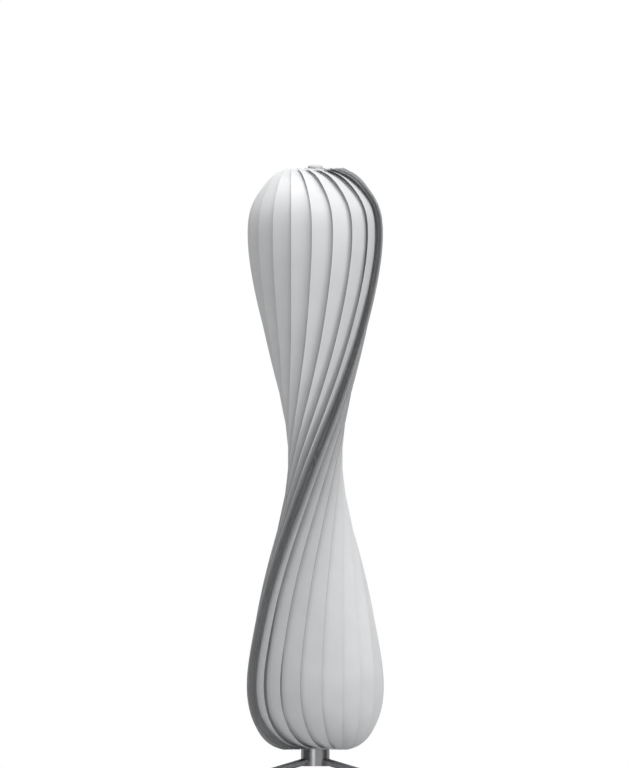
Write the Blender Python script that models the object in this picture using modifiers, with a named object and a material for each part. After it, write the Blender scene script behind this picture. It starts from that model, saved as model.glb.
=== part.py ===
"""Floor lamp: an hourglass shade of twenty bent strips on a low steel foot with four legs.

Units are metres and +Z is up. The origin is on the floor, on the lamp's axis, and the front faces -Y.
Each strip keeps to one plane beside the axis: it comes down one side of the shade's upper half, passes
the axis at the neck, and ends on the opposite side of the lower half. Two bulbs stand beside the
centre tube, one in each half. They and the finial unscrew upwards.
"""

import math

import bmesh
import bpy
import numpy as np
from mathutils import Matrix, Vector

# Fits: the clearance between pieces that touch, and the distance under which points merge.
GAP = 0.0003
MERGE = 0.00005

# Shade: twenty flat strips, bent only along their length.
NECK_HEIGHT = 0.7352
STRIP_COUNT = 20
STRIP_PITCH = math.tau / STRIP_COUNT
STRIP_WIDTH = 0.052
STRIP_THICKNESS = 0.0008
STRIP_STATIONS = 34
STATION_EVENNESS = 0.45
TANGENT_STEP = 0.001

# The outer edge's line, as (distance in front of the axis, height above the neck), from the top down.
STRIP_PATH = (
    (0.0330, 0.6490),
    (0.0755, 0.6325),
    (0.1060, 0.6050),
    (0.1345, 0.5560),
    (0.1412, 0.5050),
    (0.1330, 0.4170),
    (0.1090, 0.3100),
    (0.0770, 0.2030),
    (0.0390, 0.0980),
    (0.0000, 0.0000),
    (-0.0395, -0.1050),
    (-0.0750, -0.2040),
    (-0.1075, -0.3120),
    (-0.1305, -0.4190),
    (-0.1410, -0.5100),
    (-0.1320, -0.5730),
    (-0.0990, -0.6275),
    (-0.0680, -0.6460),
    (-0.0345, -0.6525),
)

# How far the outer edge stands beside the axis: in the upper half, and from the neck down.
EDGE_OFFSET_TOP = 0.054
EDGE_OFFSET_NECK = 0.061
EDGE_SHIFT_HEIGHT = 0.30

# Towards its ends each strip tilts, so that it lies on the next one like a shingle.
END_TILT = 0.10
TILT_FROM = 0.56
TILT_TO = 0.64

# Each strip's end has a hole that hooks over a headed stud: how far in from the end and the edge.
HOLE_FROM_END = 0.0030
HOLE_FROM_EDGE_TOP = 0.0435
HOLE_FROM_EDGE_BOTTOM = 0.0445
HOLE_R = 0.0014
STUD_R = 0.0010
STUD_HEAD_R = 0.0019
STUD_HEAD_LENGTH = 0.0012
STUD_HEAD_CLEARANCE = 0.0013
STUD_SIDES = 6
HOLE_DRILL_REACH = 0.0040

# Discs that carry the strips on their studs.
DISC_R = 0.041
DISC_THICKNESS = 0.0020
TOP_DISC_TOP = 1.3756
BOTTOM_DISC_BOTTOM = 0.0911

# Centre tube and its M10 nuts.
TUBE_R = 0.0050
TUBE_BORE_R = 0.0040
TUBE_HOLE_R = 0.0053
TUBE_BOTTOM = 0.0480
TUBE_TOP = 1.3860
TUBE_DRILL_REACH = 0.0100
DRILL_SIDES = 8
NUT_R = 0.0090
NUT_BORE_R = 0.0062
NUT_HEIGHT = 0.0040

# Finial cap on top, with its threaded insert.
FINIAL_R = 0.0170
FINIAL_TOP = 1.3912
FINIAL_ROUND = 0.0030
FINIAL_ROUND_STEPS = 3
FINIAL_BORE_TOP = 1.3868
INSERT_R = 0.0080
INSERT_HEIGHT = 0.0070

# Hub: a steel cylinder with a wiring chamber above and a nut recess below.
HUB_R = 0.0320
HUB_BOTTOM = 0.0454
HUB_TOP = BOTTOM_DISC_BOTTOM - GAP
HUB_EDGE = 0.0006
HUB_STEPS = 28
CHAMBER_R = 0.0260
CHAMBER_FLOOR = 0.0705
NUT_RECESS_R = 0.0110
NUT_RECESS_TOP = 0.0545
COVER_R = 0.0180
COVER_THICKNESS = 0.0015

# Legs: four bars that leave the hub level with its lower half and slope down to the feet.
LEG_COUNT = 4
LEG_R = 0.0080
LEG_SLOPE = math.radians(12)
LEG_HEIGHT_AT_HUB = 0.0563
LEG_START = 0.0143
LEG_REACH = 0.2320
LEG_EDGE = 0.0010
LEG_SIDES = 16
LEG_BORE_OVERSHOOT = 0.0200

# Feet: rubber pads with a saddle for the leg and a stem pressed into it.
FOOT_RADIUS = 0.2200
FOOT_R = 0.0090
FOOT_TOP = 0.0105
FOOT_EDGE = 0.0010
STEM_R = 0.0025
STEM_TOP = 0.0145
STEM_BOTTOM = 0.0040
STEM_SIDES = 10
SADDLE_HALF_LENGTH = 0.0300

# Mains inlet: a push-in gland through the hub's back.
GLAND_HEIGHT = 0.0785
GLAND_R = 0.0048
GLAND_BORE_R = 0.0033
GLAND_FLANGE_R = 0.0058
GLAND_FLANGE = 0.0030
GLAND_INNER_Y = 0.0225
INLET_BORE_MARGIN = 0.0030

# Terminal block in the hub's chamber.
BLOCK_SIZE = (0.0080, 0.0180, 0.0120)
BLOCK_X = -0.0150
BLOCK_EDGE = 0.0008

# Lamps: the brackets' undersides, and the side of the tube that each lamp stands on.
LAMPS = {"lower": (0.1500, 1), "upper": (1.1200, -1)}
LAMP_OFFSET = 0.0440
BRACKET_THICKNESS = 0.0040
COLLAR_R = 0.0095
COLLAR_HEIGHT = 0.0110
ARM_WIDTH = 0.0120
ARM_THICKNESS = 0.0036
PAD_R = 0.0120
BRACKET_SCREW_R = 0.0015
BRACKET_SCREW_DROP = 0.0035
BRACKET_SCREW_STANDOUT = 0.0010
BRACKET_DRILL_MARGIN = 0.0020

# Lampholder for an E27 cap.
HOLDER_R = 0.0195
HOLDER_HEIGHT = 0.0450
HOLDER_WALL = 0.0030
HOLDER_FLOOR = 0.0080
HOLDER_BASE_R = 0.0135
STUB_R = 0.0050
STUB_BORE_R = 0.0030
STUB_LENGTH = 0.0095
SHELL_R = 0.0150
SHELL_WALL = 0.0005
SHELL_HEIGHT = 0.0240
SHELL_LIFT = 0.0100

# Bulb: globe, LED post, E27 screw cap and centre contact, measured from the cap's lower end.
BULB_SEAT = 0.0150
CAP_R = 0.0131
CAP_WALL = 0.0006
CAP_HEIGHT = 0.0240
CAP_HOLE_R = 0.0046
CAP_BASE_R = 0.0082
CAP_CONE_HEIGHT = 0.0040
CONTACT_R = 0.0042
CONTACT_BOTTOM = -0.0020
CONTACT_TOP = 0.0025
CONTACT_EDGE = 0.0008
CONTACT_STEPS = 12
GLOBE_R = 0.0300
GLOBE_NECK_R = 0.0120
GLOBE_WALL = 0.0010
GLOBE_FOOT = 0.0160
GLOBE_SHOULDER = 0.0280
GLOBE_CENTRE = 0.0700
GLOBE_RINGS = 8
GLOBE_END_ANGLE = math.radians(118)
GLOBE_FLARE_R = 0.0042
GLOBE_FLARE_HEIGHT = 0.0120
POST_R = 0.0060
POST_TOP = 0.0780
POST_FOOT = 0.0080
POST_BASE_R = 0.0102
POST_TAPER = 0.0040
POST_STEPS = 10

# Lead wires: their lanes either side of the tube's axis, and where they enter and leave it.
WIRE_R = 0.0012
WIRE_LANE = 0.0020
WIRE_EXIT_DROP = 0.0180
LEAD_ENTRY = 0.0805
LEAD_ENTRY_R = 0.0042
WIRE_EXIT_R = 0.0022
LEAD_ENTRY_X = -0.0046
LEAD_ENTRY_BEND = (0.0006, 0.0014)
LEAD_ENTRY_RISE = 0.0040
LEAD_END_DROP = 0.0030

# The lead's route outside the tube, as (distance from the tube's axis, height above its exit hole).
LEAD_OUTSIDE = (
    (WIRE_LANE, -0.0070),
    (0.0030, -0.0012),
    (0.0060, 0.0000),
    (0.0250, -0.0040),
    (0.0360, -0.0030),
    (0.0425, 0.0030),
    (LAMP_OFFSET, 0.0090),
    (LAMP_OFFSET, WIRE_EXIT_DROP + BRACKET_THICKNESS + HOLDER_FLOOR - LEAD_END_DROP),
)

ROUND_STEPS = 24
SMALL_STEPS = 14


def clear_scene():
    for old in list(bpy.data.objects):
        bpy.data.objects.remove(old, do_unlink=True)


def add_collection(name, hidden=False):
    collection = bpy.data.collections.new(name)
    collection.hide_render = hidden
    bpy.context.scene.collection.children.link(collection)
    return collection


def linear(channel):
    if channel <= 0.04045:
        return channel / 12.92
    return ((channel + 0.055) / 1.055) ** 2.4


def make_material(name, hex_colour, roughness, metallic=0.0):
    """A Principled material; the colour is an sRGB hex value."""
    channels = [int(hex_colour[i : i + 2], 16) / 255 for i in (0, 2, 4)]
    material = bpy.data.materials.new(name)
    material.use_nodes = True
    shader = material.node_tree.nodes["Principled BSDF"]
    shader.inputs["Base Color"].default_value = (*map(linear, channels), 1)
    shader.inputs["Roughness"].default_value = roughness
    shader.inputs["Metallic"].default_value = metallic
    return material


clear_scene()
PARTS = add_collection("floor_lamp")
CUTTERS = add_collection("floor_lamp_cutters", hidden=True)

STRIP_FINISH = make_material("strip_satin_white", "E6E7E8", 0.42)
DISC_FINISH = make_material("disc_steel", "B9BABC", 0.35, 1.0)
SCREW_FINISH = make_material("screw_steel", "C4C5C7", 0.30, 1.0)
TUBE_FINISH = make_material("tube_steel", "C9CACC", 0.32, 1.0)
NUT_FINISH = make_material("nut_brass", "B89A5A", 0.35, 1.0)
FINIAL_FINISH = make_material("finial_powder_coat", "D2D3D4", 0.45)
HUB_FINISH = make_material("hub_polished_steel", "BFC0C2", 0.15, 1.0)
COVER_FINISH = make_material("cover_steel", "A9AAAC", 0.40, 1.0)
LEG_FINISH = make_material("leg_polished_steel", "A2A3A5", 0.22, 1.0)
FOOT_FINISH = make_material("foot_rubber", "1C1C1D", 0.80)
PLASTIC_FINISH = make_material("black_plastic", "202022", 0.50)
BLOCK_FINISH = make_material("terminal_plastic", "E6E3DA", 0.55)
BRACKET_FINISH = make_material("bracket_zinc_steel", "B4B6B8", 0.40, 1.0)
HOLDER_FINISH = make_material("holder_bakelite", "F0EFEB", 0.45)
BRASS_FINISH = make_material("contact_brass", "C9A862", 0.30, 1.0)
CAP_FINISH = make_material("cap_nickel", "BDBEC0", 0.30, 1.0)
GLOBE_FINISH = make_material("globe_opal_glass", "F6F5F1", 0.25)
POST_FINISH = make_material("led_post_ceramic", "F2F1EC", 0.55)
WIRE_FINISH = make_material("wire_silicone", "E9E8E4", 0.50)


def add_object(name, mesh, material, matrix=None, cutter=False):
    obj = bpy.data.objects.new(name, mesh)
    if matrix is not None:
        obj.matrix_world = matrix
    if cutter:
        CUTTERS.objects.link(obj)
        obj.hide_render = True
        obj.display_type = "WIRE"
    else:
        PARTS.objects.link(obj)
        if not mesh.materials:
            mesh.materials.append(material)
    return obj


def mesh_from(name, shape):
    mesh = bpy.data.meshes.new(name)
    shape.to_mesh(mesh)
    shape.free()
    return mesh


def at(x=0.0, y=0.0, z=0.0):
    return Matrix.Translation((x, y, z))


def turned(name, outline, material, matrix=None, ring=False, steps=ROUND_STEPS, cutter=False):
    """A turned piece. The outline's (radius, height) points run down its outer side.

    A ring's outline is closed, with its bore's wall going back up.
    """
    shape = bmesh.new()
    points = [shape.verts.new((radius, 0, height)) for radius, height in outline]
    ends = points[1:] + points[:1] if ring else points[1:]
    for first, second in zip(points, ends):
        shape.edges.new((first, second))
    obj = add_object(name, mesh_from(name, shape), material, matrix, cutter)
    screw = obj.modifiers.new("Turn", "SCREW")
    screw.steps = steps
    screw.render_steps = steps
    screw.use_merge_vertices = True
    screw.merge_threshold = MERGE
    return obj


def rod_outline(radius, bottom, top, edge=0.0):
    """The outline of a plain rod, with a chamfer of that size at each end."""
    if edge == 0:
        return [(0, top), (radius, top), (radius, bottom), (0, bottom)]
    side = [(radius - edge, top), (radius, top - edge), (radius, bottom + edge), (radius - edge, bottom)]
    return [(0, top), *side, (0, bottom)]


def tube_outline(radius, bore, bottom, top):
    return [(radius, top), (radius, bottom), (bore, bottom), (bore, top)]


def rod_between(name, start, end, radius, material=None, sides=LEG_SIDES, edge=0.0, cutter=False):
    """A round bar from start to end, with a chamfer at each end."""
    start, end = Vector(start), Vector(end)
    shape = bmesh.new()
    bmesh.ops.create_cone(
        shape,
        cap_ends=True,
        segments=sides,
        radius1=radius,
        radius2=radius,
        depth=(end - start).length,
    )
    if edge:
        rims = [item for item in shape.edges if len({round(v.co.z, 6) for v in item.verts}) == 1]
        bmesh.ops.bevel(shape, geom=rims, offset=edge, segments=1, profile=0.5, affect="EDGES")
    turn = (end - start).to_track_quat("Z", "Y").to_matrix().to_4x4()
    matrix = Matrix.Translation((start + end) / 2) @ turn
    return add_object(name, mesh_from(name, shape), material, matrix, cutter)


def box(name, size, centre, material=None, edge=0.0, cutter=False):
    shape = bmesh.new()
    bmesh.ops.create_cube(shape, size=1)
    bmesh.ops.scale(shape, vec=size, verts=shape.verts)
    if edge:
        bmesh.ops.bevel(shape, geom=shape.edges[:], offset=edge, segments=1, profile=0.5, affect="EDGES")
    return add_object(name, mesh_from(name, shape), material, at(*centre), cutter)


def combine(obj, other, operation):
    modifier = obj.modifiers.new(operation.title(), "BOOLEAN")
    modifier.operation = operation
    modifier.solver = "EXACT"
    modifier.object = other


def fixed_mesh(obj):
    """The object's mesh with its modifiers applied. The object itself is removed."""
    graph = bpy.context.evaluated_depsgraph_get()
    mesh = bpy.data.meshes.new_from_object(obj.evaluated_get(graph))
    bpy.data.objects.remove(obj, do_unlink=True)
    return mesh


def copies(name, mesh, matrices):
    """A helper for a Boolean: one copy of the mesh at each matrix."""
    shape = bmesh.new()
    for matrix in matrices:
        before = len(shape.verts)
        shape.from_mesh(mesh)
        shape.verts.ensure_lookup_table()
        bmesh.ops.transform(shape, matrix=matrix, verts=shape.verts[before:])
    return add_object(name, mesh_from(name, shape), None, cutter=True)


# The strips' path


def smooth_curve(points):
    """A function of 0..1 that runs through the points with even curvature (a natural cubic spline)."""
    points = np.array(points)
    chord = np.concatenate([[0], np.cumsum(np.linalg.norm(np.diff(points, axis=0), axis=1))])
    step = np.diff(chord)
    last = len(points) - 1
    system = np.eye(last + 1)
    right = np.zeros_like(points)
    for i in range(1, last):
        system[i, i - 1 : i + 2] = step[i - 1], 2 * (step[i - 1] + step[i]), step[i]
        right[i] = 6 * (
            (points[i + 1] - points[i]) / step[i] - (points[i] - points[i - 1]) / step[i - 1]
        )
    bend = np.linalg.solve(system, right)

    def place(fraction):
        along = fraction * chord[-1]
        i = min(max(int(np.searchsorted(chord, along, side="right")) - 1, 0), last - 1)
        a = (chord[i + 1] - along) / step[i]
        b = 1 - a
        curl = (a**3 - a) * bend[i] + (b**3 - b) * bend[i + 1]
        return a * points[i] + b * points[i + 1] + curl * step[i] ** 2 / 6

    return place


def ease(value, low, high):
    """0 below low, 1 above high, and a smooth step between."""
    share = min(max((value - low) / (high - low), 0), 1)
    return share * share * (3 - 2 * share)


strip_path = smooth_curve(STRIP_PATH)
STRIP_LENGTH = sum(math.dist(*pair) for pair in zip(STRIP_PATH, STRIP_PATH[1:]))


def strip_point(fraction, from_edge):
    """A point on the first strip's middle surface, that far down it and in from its outer edge."""
    distance, height = strip_path(fraction)
    before = strip_path(max(fraction - TANGENT_STEP, 0))
    after = strip_path(min(fraction + TANGENT_STEP, 1))
    along = (after - before) / np.linalg.norm(after - before)
    tilt = END_TILT * ease(abs(height), TILT_FROM, TILT_TO)
    drop = math.copysign(tilt, height) * from_edge
    shift = ease(height, 0, EDGE_SHIFT_HEIGHT)
    offset = EDGE_OFFSET_NECK + (EDGE_OFFSET_TOP - EDGE_OFFSET_NECK) * shift
    distance += along[1] * drop
    height -= along[0] * drop
    return Vector((from_edge - offset, -distance, NECK_HEIGHT + height))


def station(index):
    """Where a station lies along the strip: closer together towards both ends."""
    even = index / STRIP_STATIONS
    eased = (1 - math.cos(math.pi * even)) / 2
    return STATION_EVENNESS * even + (1 - STATION_EVENNESS) * eased


HOLE_FRACTION = HOLE_FROM_END / STRIP_LENGTH
TOP_HOLE = strip_point(HOLE_FRACTION, HOLE_FROM_EDGE_TOP)
BOTTOM_HOLE = strip_point(1 - HOLE_FRACTION, HOLE_FROM_EDGE_BOTTOM)


def make_strips():
    """Twenty alike: an even ribbon laid on the path, thickened and drilled at both ends."""
    shape = bmesh.new()
    bmesh.ops.create_grid(shape, x_segments=1, y_segments=STRIP_STATIONS, size=0.5)
    for vert in shape.verts:
        index = round((0.5 - vert.co.y) * STRIP_STATIONS)
        vert.co = strip_point(station(index), (vert.co.x + 0.5) * STRIP_WIDTH)
    bmesh.ops.recalc_face_normals(shape, faces=shape.faces)
    ribbon = add_object("ribbon", mesh_from("strip", shape), STRIP_FINISH)
    wall = ribbon.modifiers.new("Thickness", "SOLIDIFY")
    wall.thickness = STRIP_THICKNESS
    wall.offset = 0
    half = Vector((0, 0, HOLE_DRILL_REACH))
    for name, hole in (("top_hole", TOP_HOLE), ("bottom_hole", BOTTOM_HOLE)):
        drill = rod_between(name, hole - half, hole + half, HOLE_R, sides=STUD_SIDES, cutter=True)
        combine(ribbon, drill, "DIFFERENCE")
    mesh = fixed_mesh(ribbon)
    mesh.name = "strip"
    for i in range(STRIP_COUNT):
        strip = add_object(f"strip_{i + 1:02d}", mesh, STRIP_FINISH)
        strip.rotation_euler.z = STRIP_PITCH * i


def make_disc(name, bottom, hole, out):
    """A steel disc with a centre hole for the tube and, for each strip, a headed stud on its out side."""
    outline = tube_outline(DISC_R, TUBE_HOLE_R, bottom, bottom + DISC_THICKNESS)
    disc = turned(name, outline, DISC_FINISH, ring=True)
    foot = bottom + DISC_THICKNESS / 2 - hole.z
    head = STUD_HEAD_CLEARANCE
    outline = [
        (0, head + STUD_HEAD_LENGTH),
        (STUD_HEAD_R, head + STUD_HEAD_LENGTH),
        (STUD_HEAD_R, head),
        (STUD_R, head),
        (STUD_R, -abs(foot)),
        (0, -abs(foot)),
    ]
    one = fixed_mesh(turned(f"{name}_stud", outline, None, steps=STUD_SIDES, cutter=True))
    flip = Matrix.Rotation(0 if out > 0 else math.pi, 4, "X")
    turns = [Matrix.Rotation(STRIP_PITCH * i, 4, "Z") for i in range(STRIP_COUNT)]
    studs = copies(f"{name}_studs", one, [turn @ Matrix.Translation(hole) @ flip for turn in turns])
    combine(disc, studs, "UNION")


def make_tube():
    """The centre tube, drilled beside each bracket and in the hub for the lead wires."""
    outline = tube_outline(TUBE_R, TUBE_BORE_R, TUBE_BOTTOM, TUBE_TOP)
    tube = turned("centre_tube", outline, TUBE_FINISH, ring=True, steps=SMALL_STEPS)
    for lamp, (height, side) in LAMPS.items():
        exit_height = height - WIRE_EXIT_DROP
        start = (0, 0, exit_height)
        end = (side * TUBE_DRILL_REACH, 0, exit_height)
        name = f"{lamp}_wire_drill"
        drill = rod_between(name, start, end, WIRE_EXIT_R, sides=DRILL_SIDES, cutter=True)
        combine(tube, drill, "DIFFERENCE")
    start = (0, 0, LEAD_ENTRY)
    end = (-TUBE_DRILL_REACH, 0, LEAD_ENTRY)
    drill = rod_between("hub_wire_drill", start, end, LEAD_ENTRY_R, sides=DRILL_SIDES, cutter=True)
    combine(tube, drill, "DIFFERENCE")


def make_nuts():
    """M10 nuts: in the hub's recess, on the bottom disc, under the top disc and under each holder."""
    outline = tube_outline(NUT_R, NUT_BORE_R, 0, NUT_HEIGHT)
    mesh = fixed_mesh(turned("nut", outline, NUT_FINISH, ring=True, steps=6))
    add_object("hub_nut", mesh, NUT_FINISH, at(z=NUT_RECESS_TOP - GAP - NUT_HEIGHT))
    add_object("bottom_disc_nut", mesh, NUT_FINISH, at(z=BOTTOM_DISC_BOTTOM + DISC_THICKNESS + GAP))
    add_object("top_disc_nut", mesh, NUT_FINISH, at(z=TOP_DISC_TOP - DISC_THICKNESS - GAP - NUT_HEIGHT))
    for lamp, (height, side) in LAMPS.items():
        place = at(x=side * LAMP_OFFSET, z=height - GAP - NUT_HEIGHT)
        add_object(f"{lamp}_holder_nut", mesh, NUT_FINISH, place)


def make_finial():
    """A turned steel cap on the tube's end, with a brass insert that carries the thread."""
    bottom = TOP_DISC_TOP + GAP
    insert_top = bottom + INSERT_HEIGHT
    outline = [(0, FINIAL_TOP)]
    for i in range(FINIAL_ROUND_STEPS + 1):
        angle = math.pi / 2 * i / FINIAL_ROUND_STEPS
        radius = FINIAL_R - FINIAL_ROUND * (1 - math.sin(angle))
        outline.append((radius, FINIAL_TOP - FINIAL_ROUND * (1 - math.cos(angle))))
    outline += [
        (FINIAL_R, bottom),
        (INSERT_R + GAP, bottom),
        (INSERT_R + GAP, insert_top + GAP),
        (TUBE_HOLE_R, insert_top + GAP),
        (TUBE_HOLE_R, FINIAL_BORE_TOP),
        (0, FINIAL_BORE_TOP),
    ]
    turned("finial", outline, FINIAL_FINISH)
    insert = tube_outline(INSERT_R, TUBE_HOLE_R, bottom, insert_top)
    turned("finial_insert", insert, BRASS_FINISH, ring=True, steps=SMALL_STEPS)


def leg_direction(index):
    return Matrix.Rotation(math.tau / LEG_COUNT * (index + 0.5), 3, "Z") @ Vector((1, 0, 0))


def leg_point(index, radius):
    """The point on a leg's axis at that distance from the lamp's axis."""
    point = leg_direction(index) * radius
    point.z = LEG_HEIGHT_AT_HUB - (radius - HUB_R) * math.tan(LEG_SLOPE)
    return point


def make_hub():
    """The hub, with a tapped bore for each leg and one for the mains inlet."""
    cover_recess = HUB_BOTTOM + COVER_THICKNESS + GAP
    outline = [
        (HUB_R - HUB_EDGE, HUB_TOP),
        (HUB_R, HUB_TOP - HUB_EDGE),
        (HUB_R, HUB_BOTTOM + HUB_EDGE),
        (HUB_R - HUB_EDGE, HUB_BOTTOM),
        (COVER_R + GAP, HUB_BOTTOM),
        (COVER_R + GAP, cover_recess),
        (NUT_RECESS_R, cover_recess),
        (NUT_RECESS_R, NUT_RECESS_TOP),
        (TUBE_HOLE_R, NUT_RECESS_TOP),
        (TUBE_HOLE_R, CHAMBER_FLOOR),
        (CHAMBER_R, CHAMBER_FLOOR),
        (CHAMBER_R, HUB_TOP),
    ]
    hub = turned("hub", outline, HUB_FINISH, ring=True, steps=HUB_STEPS)
    for i in range(LEG_COUNT):
        bore = rod_between(
            f"leg_bore_{i + 1}",
            leg_point(i, LEG_START - GAP),
            leg_point(i, HUB_R + LEG_BORE_OVERSHOOT),
            LEG_R + GAP,
            cutter=True,
        )
        combine(hub, bore, "DIFFERENCE")
    inlet = rod_between(
        "inlet_bore",
        (0, CHAMBER_R - INLET_BORE_MARGIN, GLAND_HEIGHT),
        (0, HUB_R + INLET_BORE_MARGIN, GLAND_HEIGHT),
        GLAND_R + GAP,
        sides=SMALL_STEPS,
        cutter=True,
    )
    combine(hub, inlet, "DIFFERENCE")


def make_hub_cover():
    """The steel disc that snaps into the hub's underside over the nut."""
    turned("hub_cover", rod_outline(COVER_R, HUB_BOTTOM, HUB_BOTTOM + COVER_THICKNESS), COVER_FINISH)


def make_legs_and_feet():
    """Four steel bars screwed into the hub, with a rubber foot pressed into each one's end."""
    for i in range(LEG_COUNT):
        leg = rod_between(
            f"leg_{i + 1}",
            leg_point(i, LEG_START),
            leg_point(i, LEG_REACH),
            LEG_R,
            LEG_FINISH,
            edge=LEG_EDGE,
        )
        place = leg_direction(i) * FOOT_RADIUS
        low = Vector((place.x, place.y, STEM_BOTTOM))
        socket_top = Vector((place.x, place.y, STEM_TOP + GAP))
        name = f"foot_socket_{i + 1}"
        socket = rod_between(name, low, socket_top, STEM_R + GAP, sides=STEM_SIDES, cutter=True)
        combine(leg, socket, "DIFFERENCE")

        pad = turned(
            f"foot_{i + 1}",
            rod_outline(FOOT_R, 0, FOOT_TOP, FOOT_EDGE),
            FOOT_FINISH,
            at(place.x, place.y),
            steps=SMALL_STEPS,
        )
        saddle = rod_between(
            f"foot_saddle_{i + 1}",
            leg_point(i, FOOT_RADIUS - SADDLE_HALF_LENGTH),
            leg_point(i, FOOT_RADIUS + SADDLE_HALF_LENGTH),
            LEG_R + GAP,
            cutter=True,
        )
        combine(pad, saddle, "DIFFERENCE")
        stem_top = Vector((place.x, place.y, STEM_TOP))
        name = f"foot_stem_{i + 1}"
        stem = rod_between(name, low, stem_top, STEM_R, sides=STEM_SIDES, cutter=True)
        combine(pad, stem, "UNION")


def make_inlet():
    """The gland for the mains cord, snapped into the hub's back."""
    outward = Matrix.Translation((0, 0, GLAND_HEIGHT)) @ Matrix.Rotation(-math.pi / 2, 4, "X")
    flange_start = HUB_R + GAP
    outline = [
        (GLAND_FLANGE_R, flange_start + GLAND_FLANGE),
        (GLAND_FLANGE_R, flange_start),
        (GLAND_R, flange_start),
        (GLAND_R, GLAND_INNER_Y),
        (GLAND_BORE_R, GLAND_INNER_Y),
        (GLAND_BORE_R, flange_start + GLAND_FLANGE),
    ]
    turned("cable_gland", outline, PLASTIC_FINISH, outward, ring=True, steps=SMALL_STEPS)


def make_terminal_block():
    """The mains cord and both lead wires meet in this block on the chamber's floor."""
    centre = (BLOCK_X, 0, CHAMBER_FLOOR + GAP + BLOCK_SIZE[2] / 2)
    box("terminal_block", BLOCK_SIZE, centre, BLOCK_FINISH, edge=BLOCK_EDGE)


def make_bracket(lamp, height, side):
    """A collar on the tube with an arm and a round pad for the lampholder, and its set screw."""
    top = height + BRACKET_THICKNESS
    collar = turned(
        f"{lamp}_bracket", rod_outline(COLLAR_R, height, height + COLLAR_HEIGHT), BRACKET_FINISH
    )
    pad = turned(
        f"{lamp}_pad",
        rod_outline(PAD_R, height, top),
        None,
        at(x=side * LAMP_OFFSET),
        cutter=True,
    )
    combine(collar, pad, "UNION")
    arm_size = (LAMP_OFFSET, ARM_WIDTH, ARM_THICKNESS)
    arm_centre = (side * LAMP_OFFSET / 2, 0, height + BRACKET_THICKNESS / 2)
    combine(collar, box(f"{lamp}_arm", arm_size, arm_centre, cutter=True), "UNION")
    for name, x, radius in (("tube", 0, TUBE_HOLE_R), ("stub", side * LAMP_OFFSET, STUB_R + GAP)):
        drill = rod_between(
            f"{lamp}_{name}_drill",
            (x, 0, height - BRACKET_DRILL_MARGIN),
            (x, 0, height + COLLAR_HEIGHT + BRACKET_DRILL_MARGIN),
            radius,
            sides=SMALL_STEPS,
            cutter=True,
        )
        combine(collar, drill, "DIFFERENCE")
    screw_height = height + COLLAR_HEIGHT - BRACKET_SCREW_DROP
    hole = rod_between(
        f"{lamp}_bracket_screw_hole",
        (0, 0, screw_height),
        (0, COLLAR_R + BRACKET_DRILL_MARGIN, screw_height),
        BRACKET_SCREW_R + GAP,
        sides=DRILL_SIDES,
        cutter=True,
    )
    combine(collar, hole, "DIFFERENCE")
    outward = Matrix.Translation((0, 0, screw_height)) @ Matrix.Rotation(-math.pi / 2, 4, "X")
    screw = rod_outline(BRACKET_SCREW_R, TUBE_R + GAP, COLLAR_R + BRACKET_SCREW_STANDOUT)
    turned(f"{lamp}_bracket_screw", screw, SCREW_FINISH, outward, steps=DRILL_SIDES)


def make_holder(lamp, base, side):
    """A lampholder: a moulded body on a threaded stub, and the screw shell inside it."""
    inner = HOLDER_R - HOLDER_WALL
    outline = [
        (HOLDER_R, base + HOLDER_HEIGHT),
        (HOLDER_R, base + HOLDER_FLOOR),
        (HOLDER_BASE_R, base),
        (STUB_R, base),
        (STUB_R, base - STUB_LENGTH),
        (STUB_BORE_R, base - STUB_LENGTH),
        (STUB_BORE_R, base + HOLDER_FLOOR),
        (inner, base + HOLDER_FLOOR),
        (inner, base + HOLDER_HEIGHT),
    ]
    place = at(x=side * LAMP_OFFSET)
    turned(f"{lamp}_holder_body", outline, HOLDER_FINISH, place, ring=True, steps=SMALL_STEPS)
    bottom = base + SHELL_LIFT
    shell = tube_outline(SHELL_R, SHELL_R - SHELL_WALL, bottom, bottom + SHELL_HEIGHT)
    turned(f"{lamp}_holder_shell", shell, BRASS_FINISH, place, ring=True, steps=SMALL_STEPS)


def globe_outline(radius_loss):
    """The globe's side from its top to its foot, inset by the loss: a sphere that runs into a neck."""
    radius = GLOBE_R - radius_loss
    neck = GLOBE_NECK_R - radius_loss
    points = []
    for i in range(GLOBE_RINGS):
        angle = GLOBE_END_ANGLE * i / (GLOBE_RINGS - 1)
        points.append((radius * math.sin(angle), GLOBE_CENTRE + radius * math.cos(angle)))
    points.append((neck + GLOBE_FLARE_R, GLOBE_SHOULDER + GLOBE_FLARE_HEIGHT))
    points += [(neck, GLOBE_SHOULDER), (neck, GLOBE_FOOT)]
    return points


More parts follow.
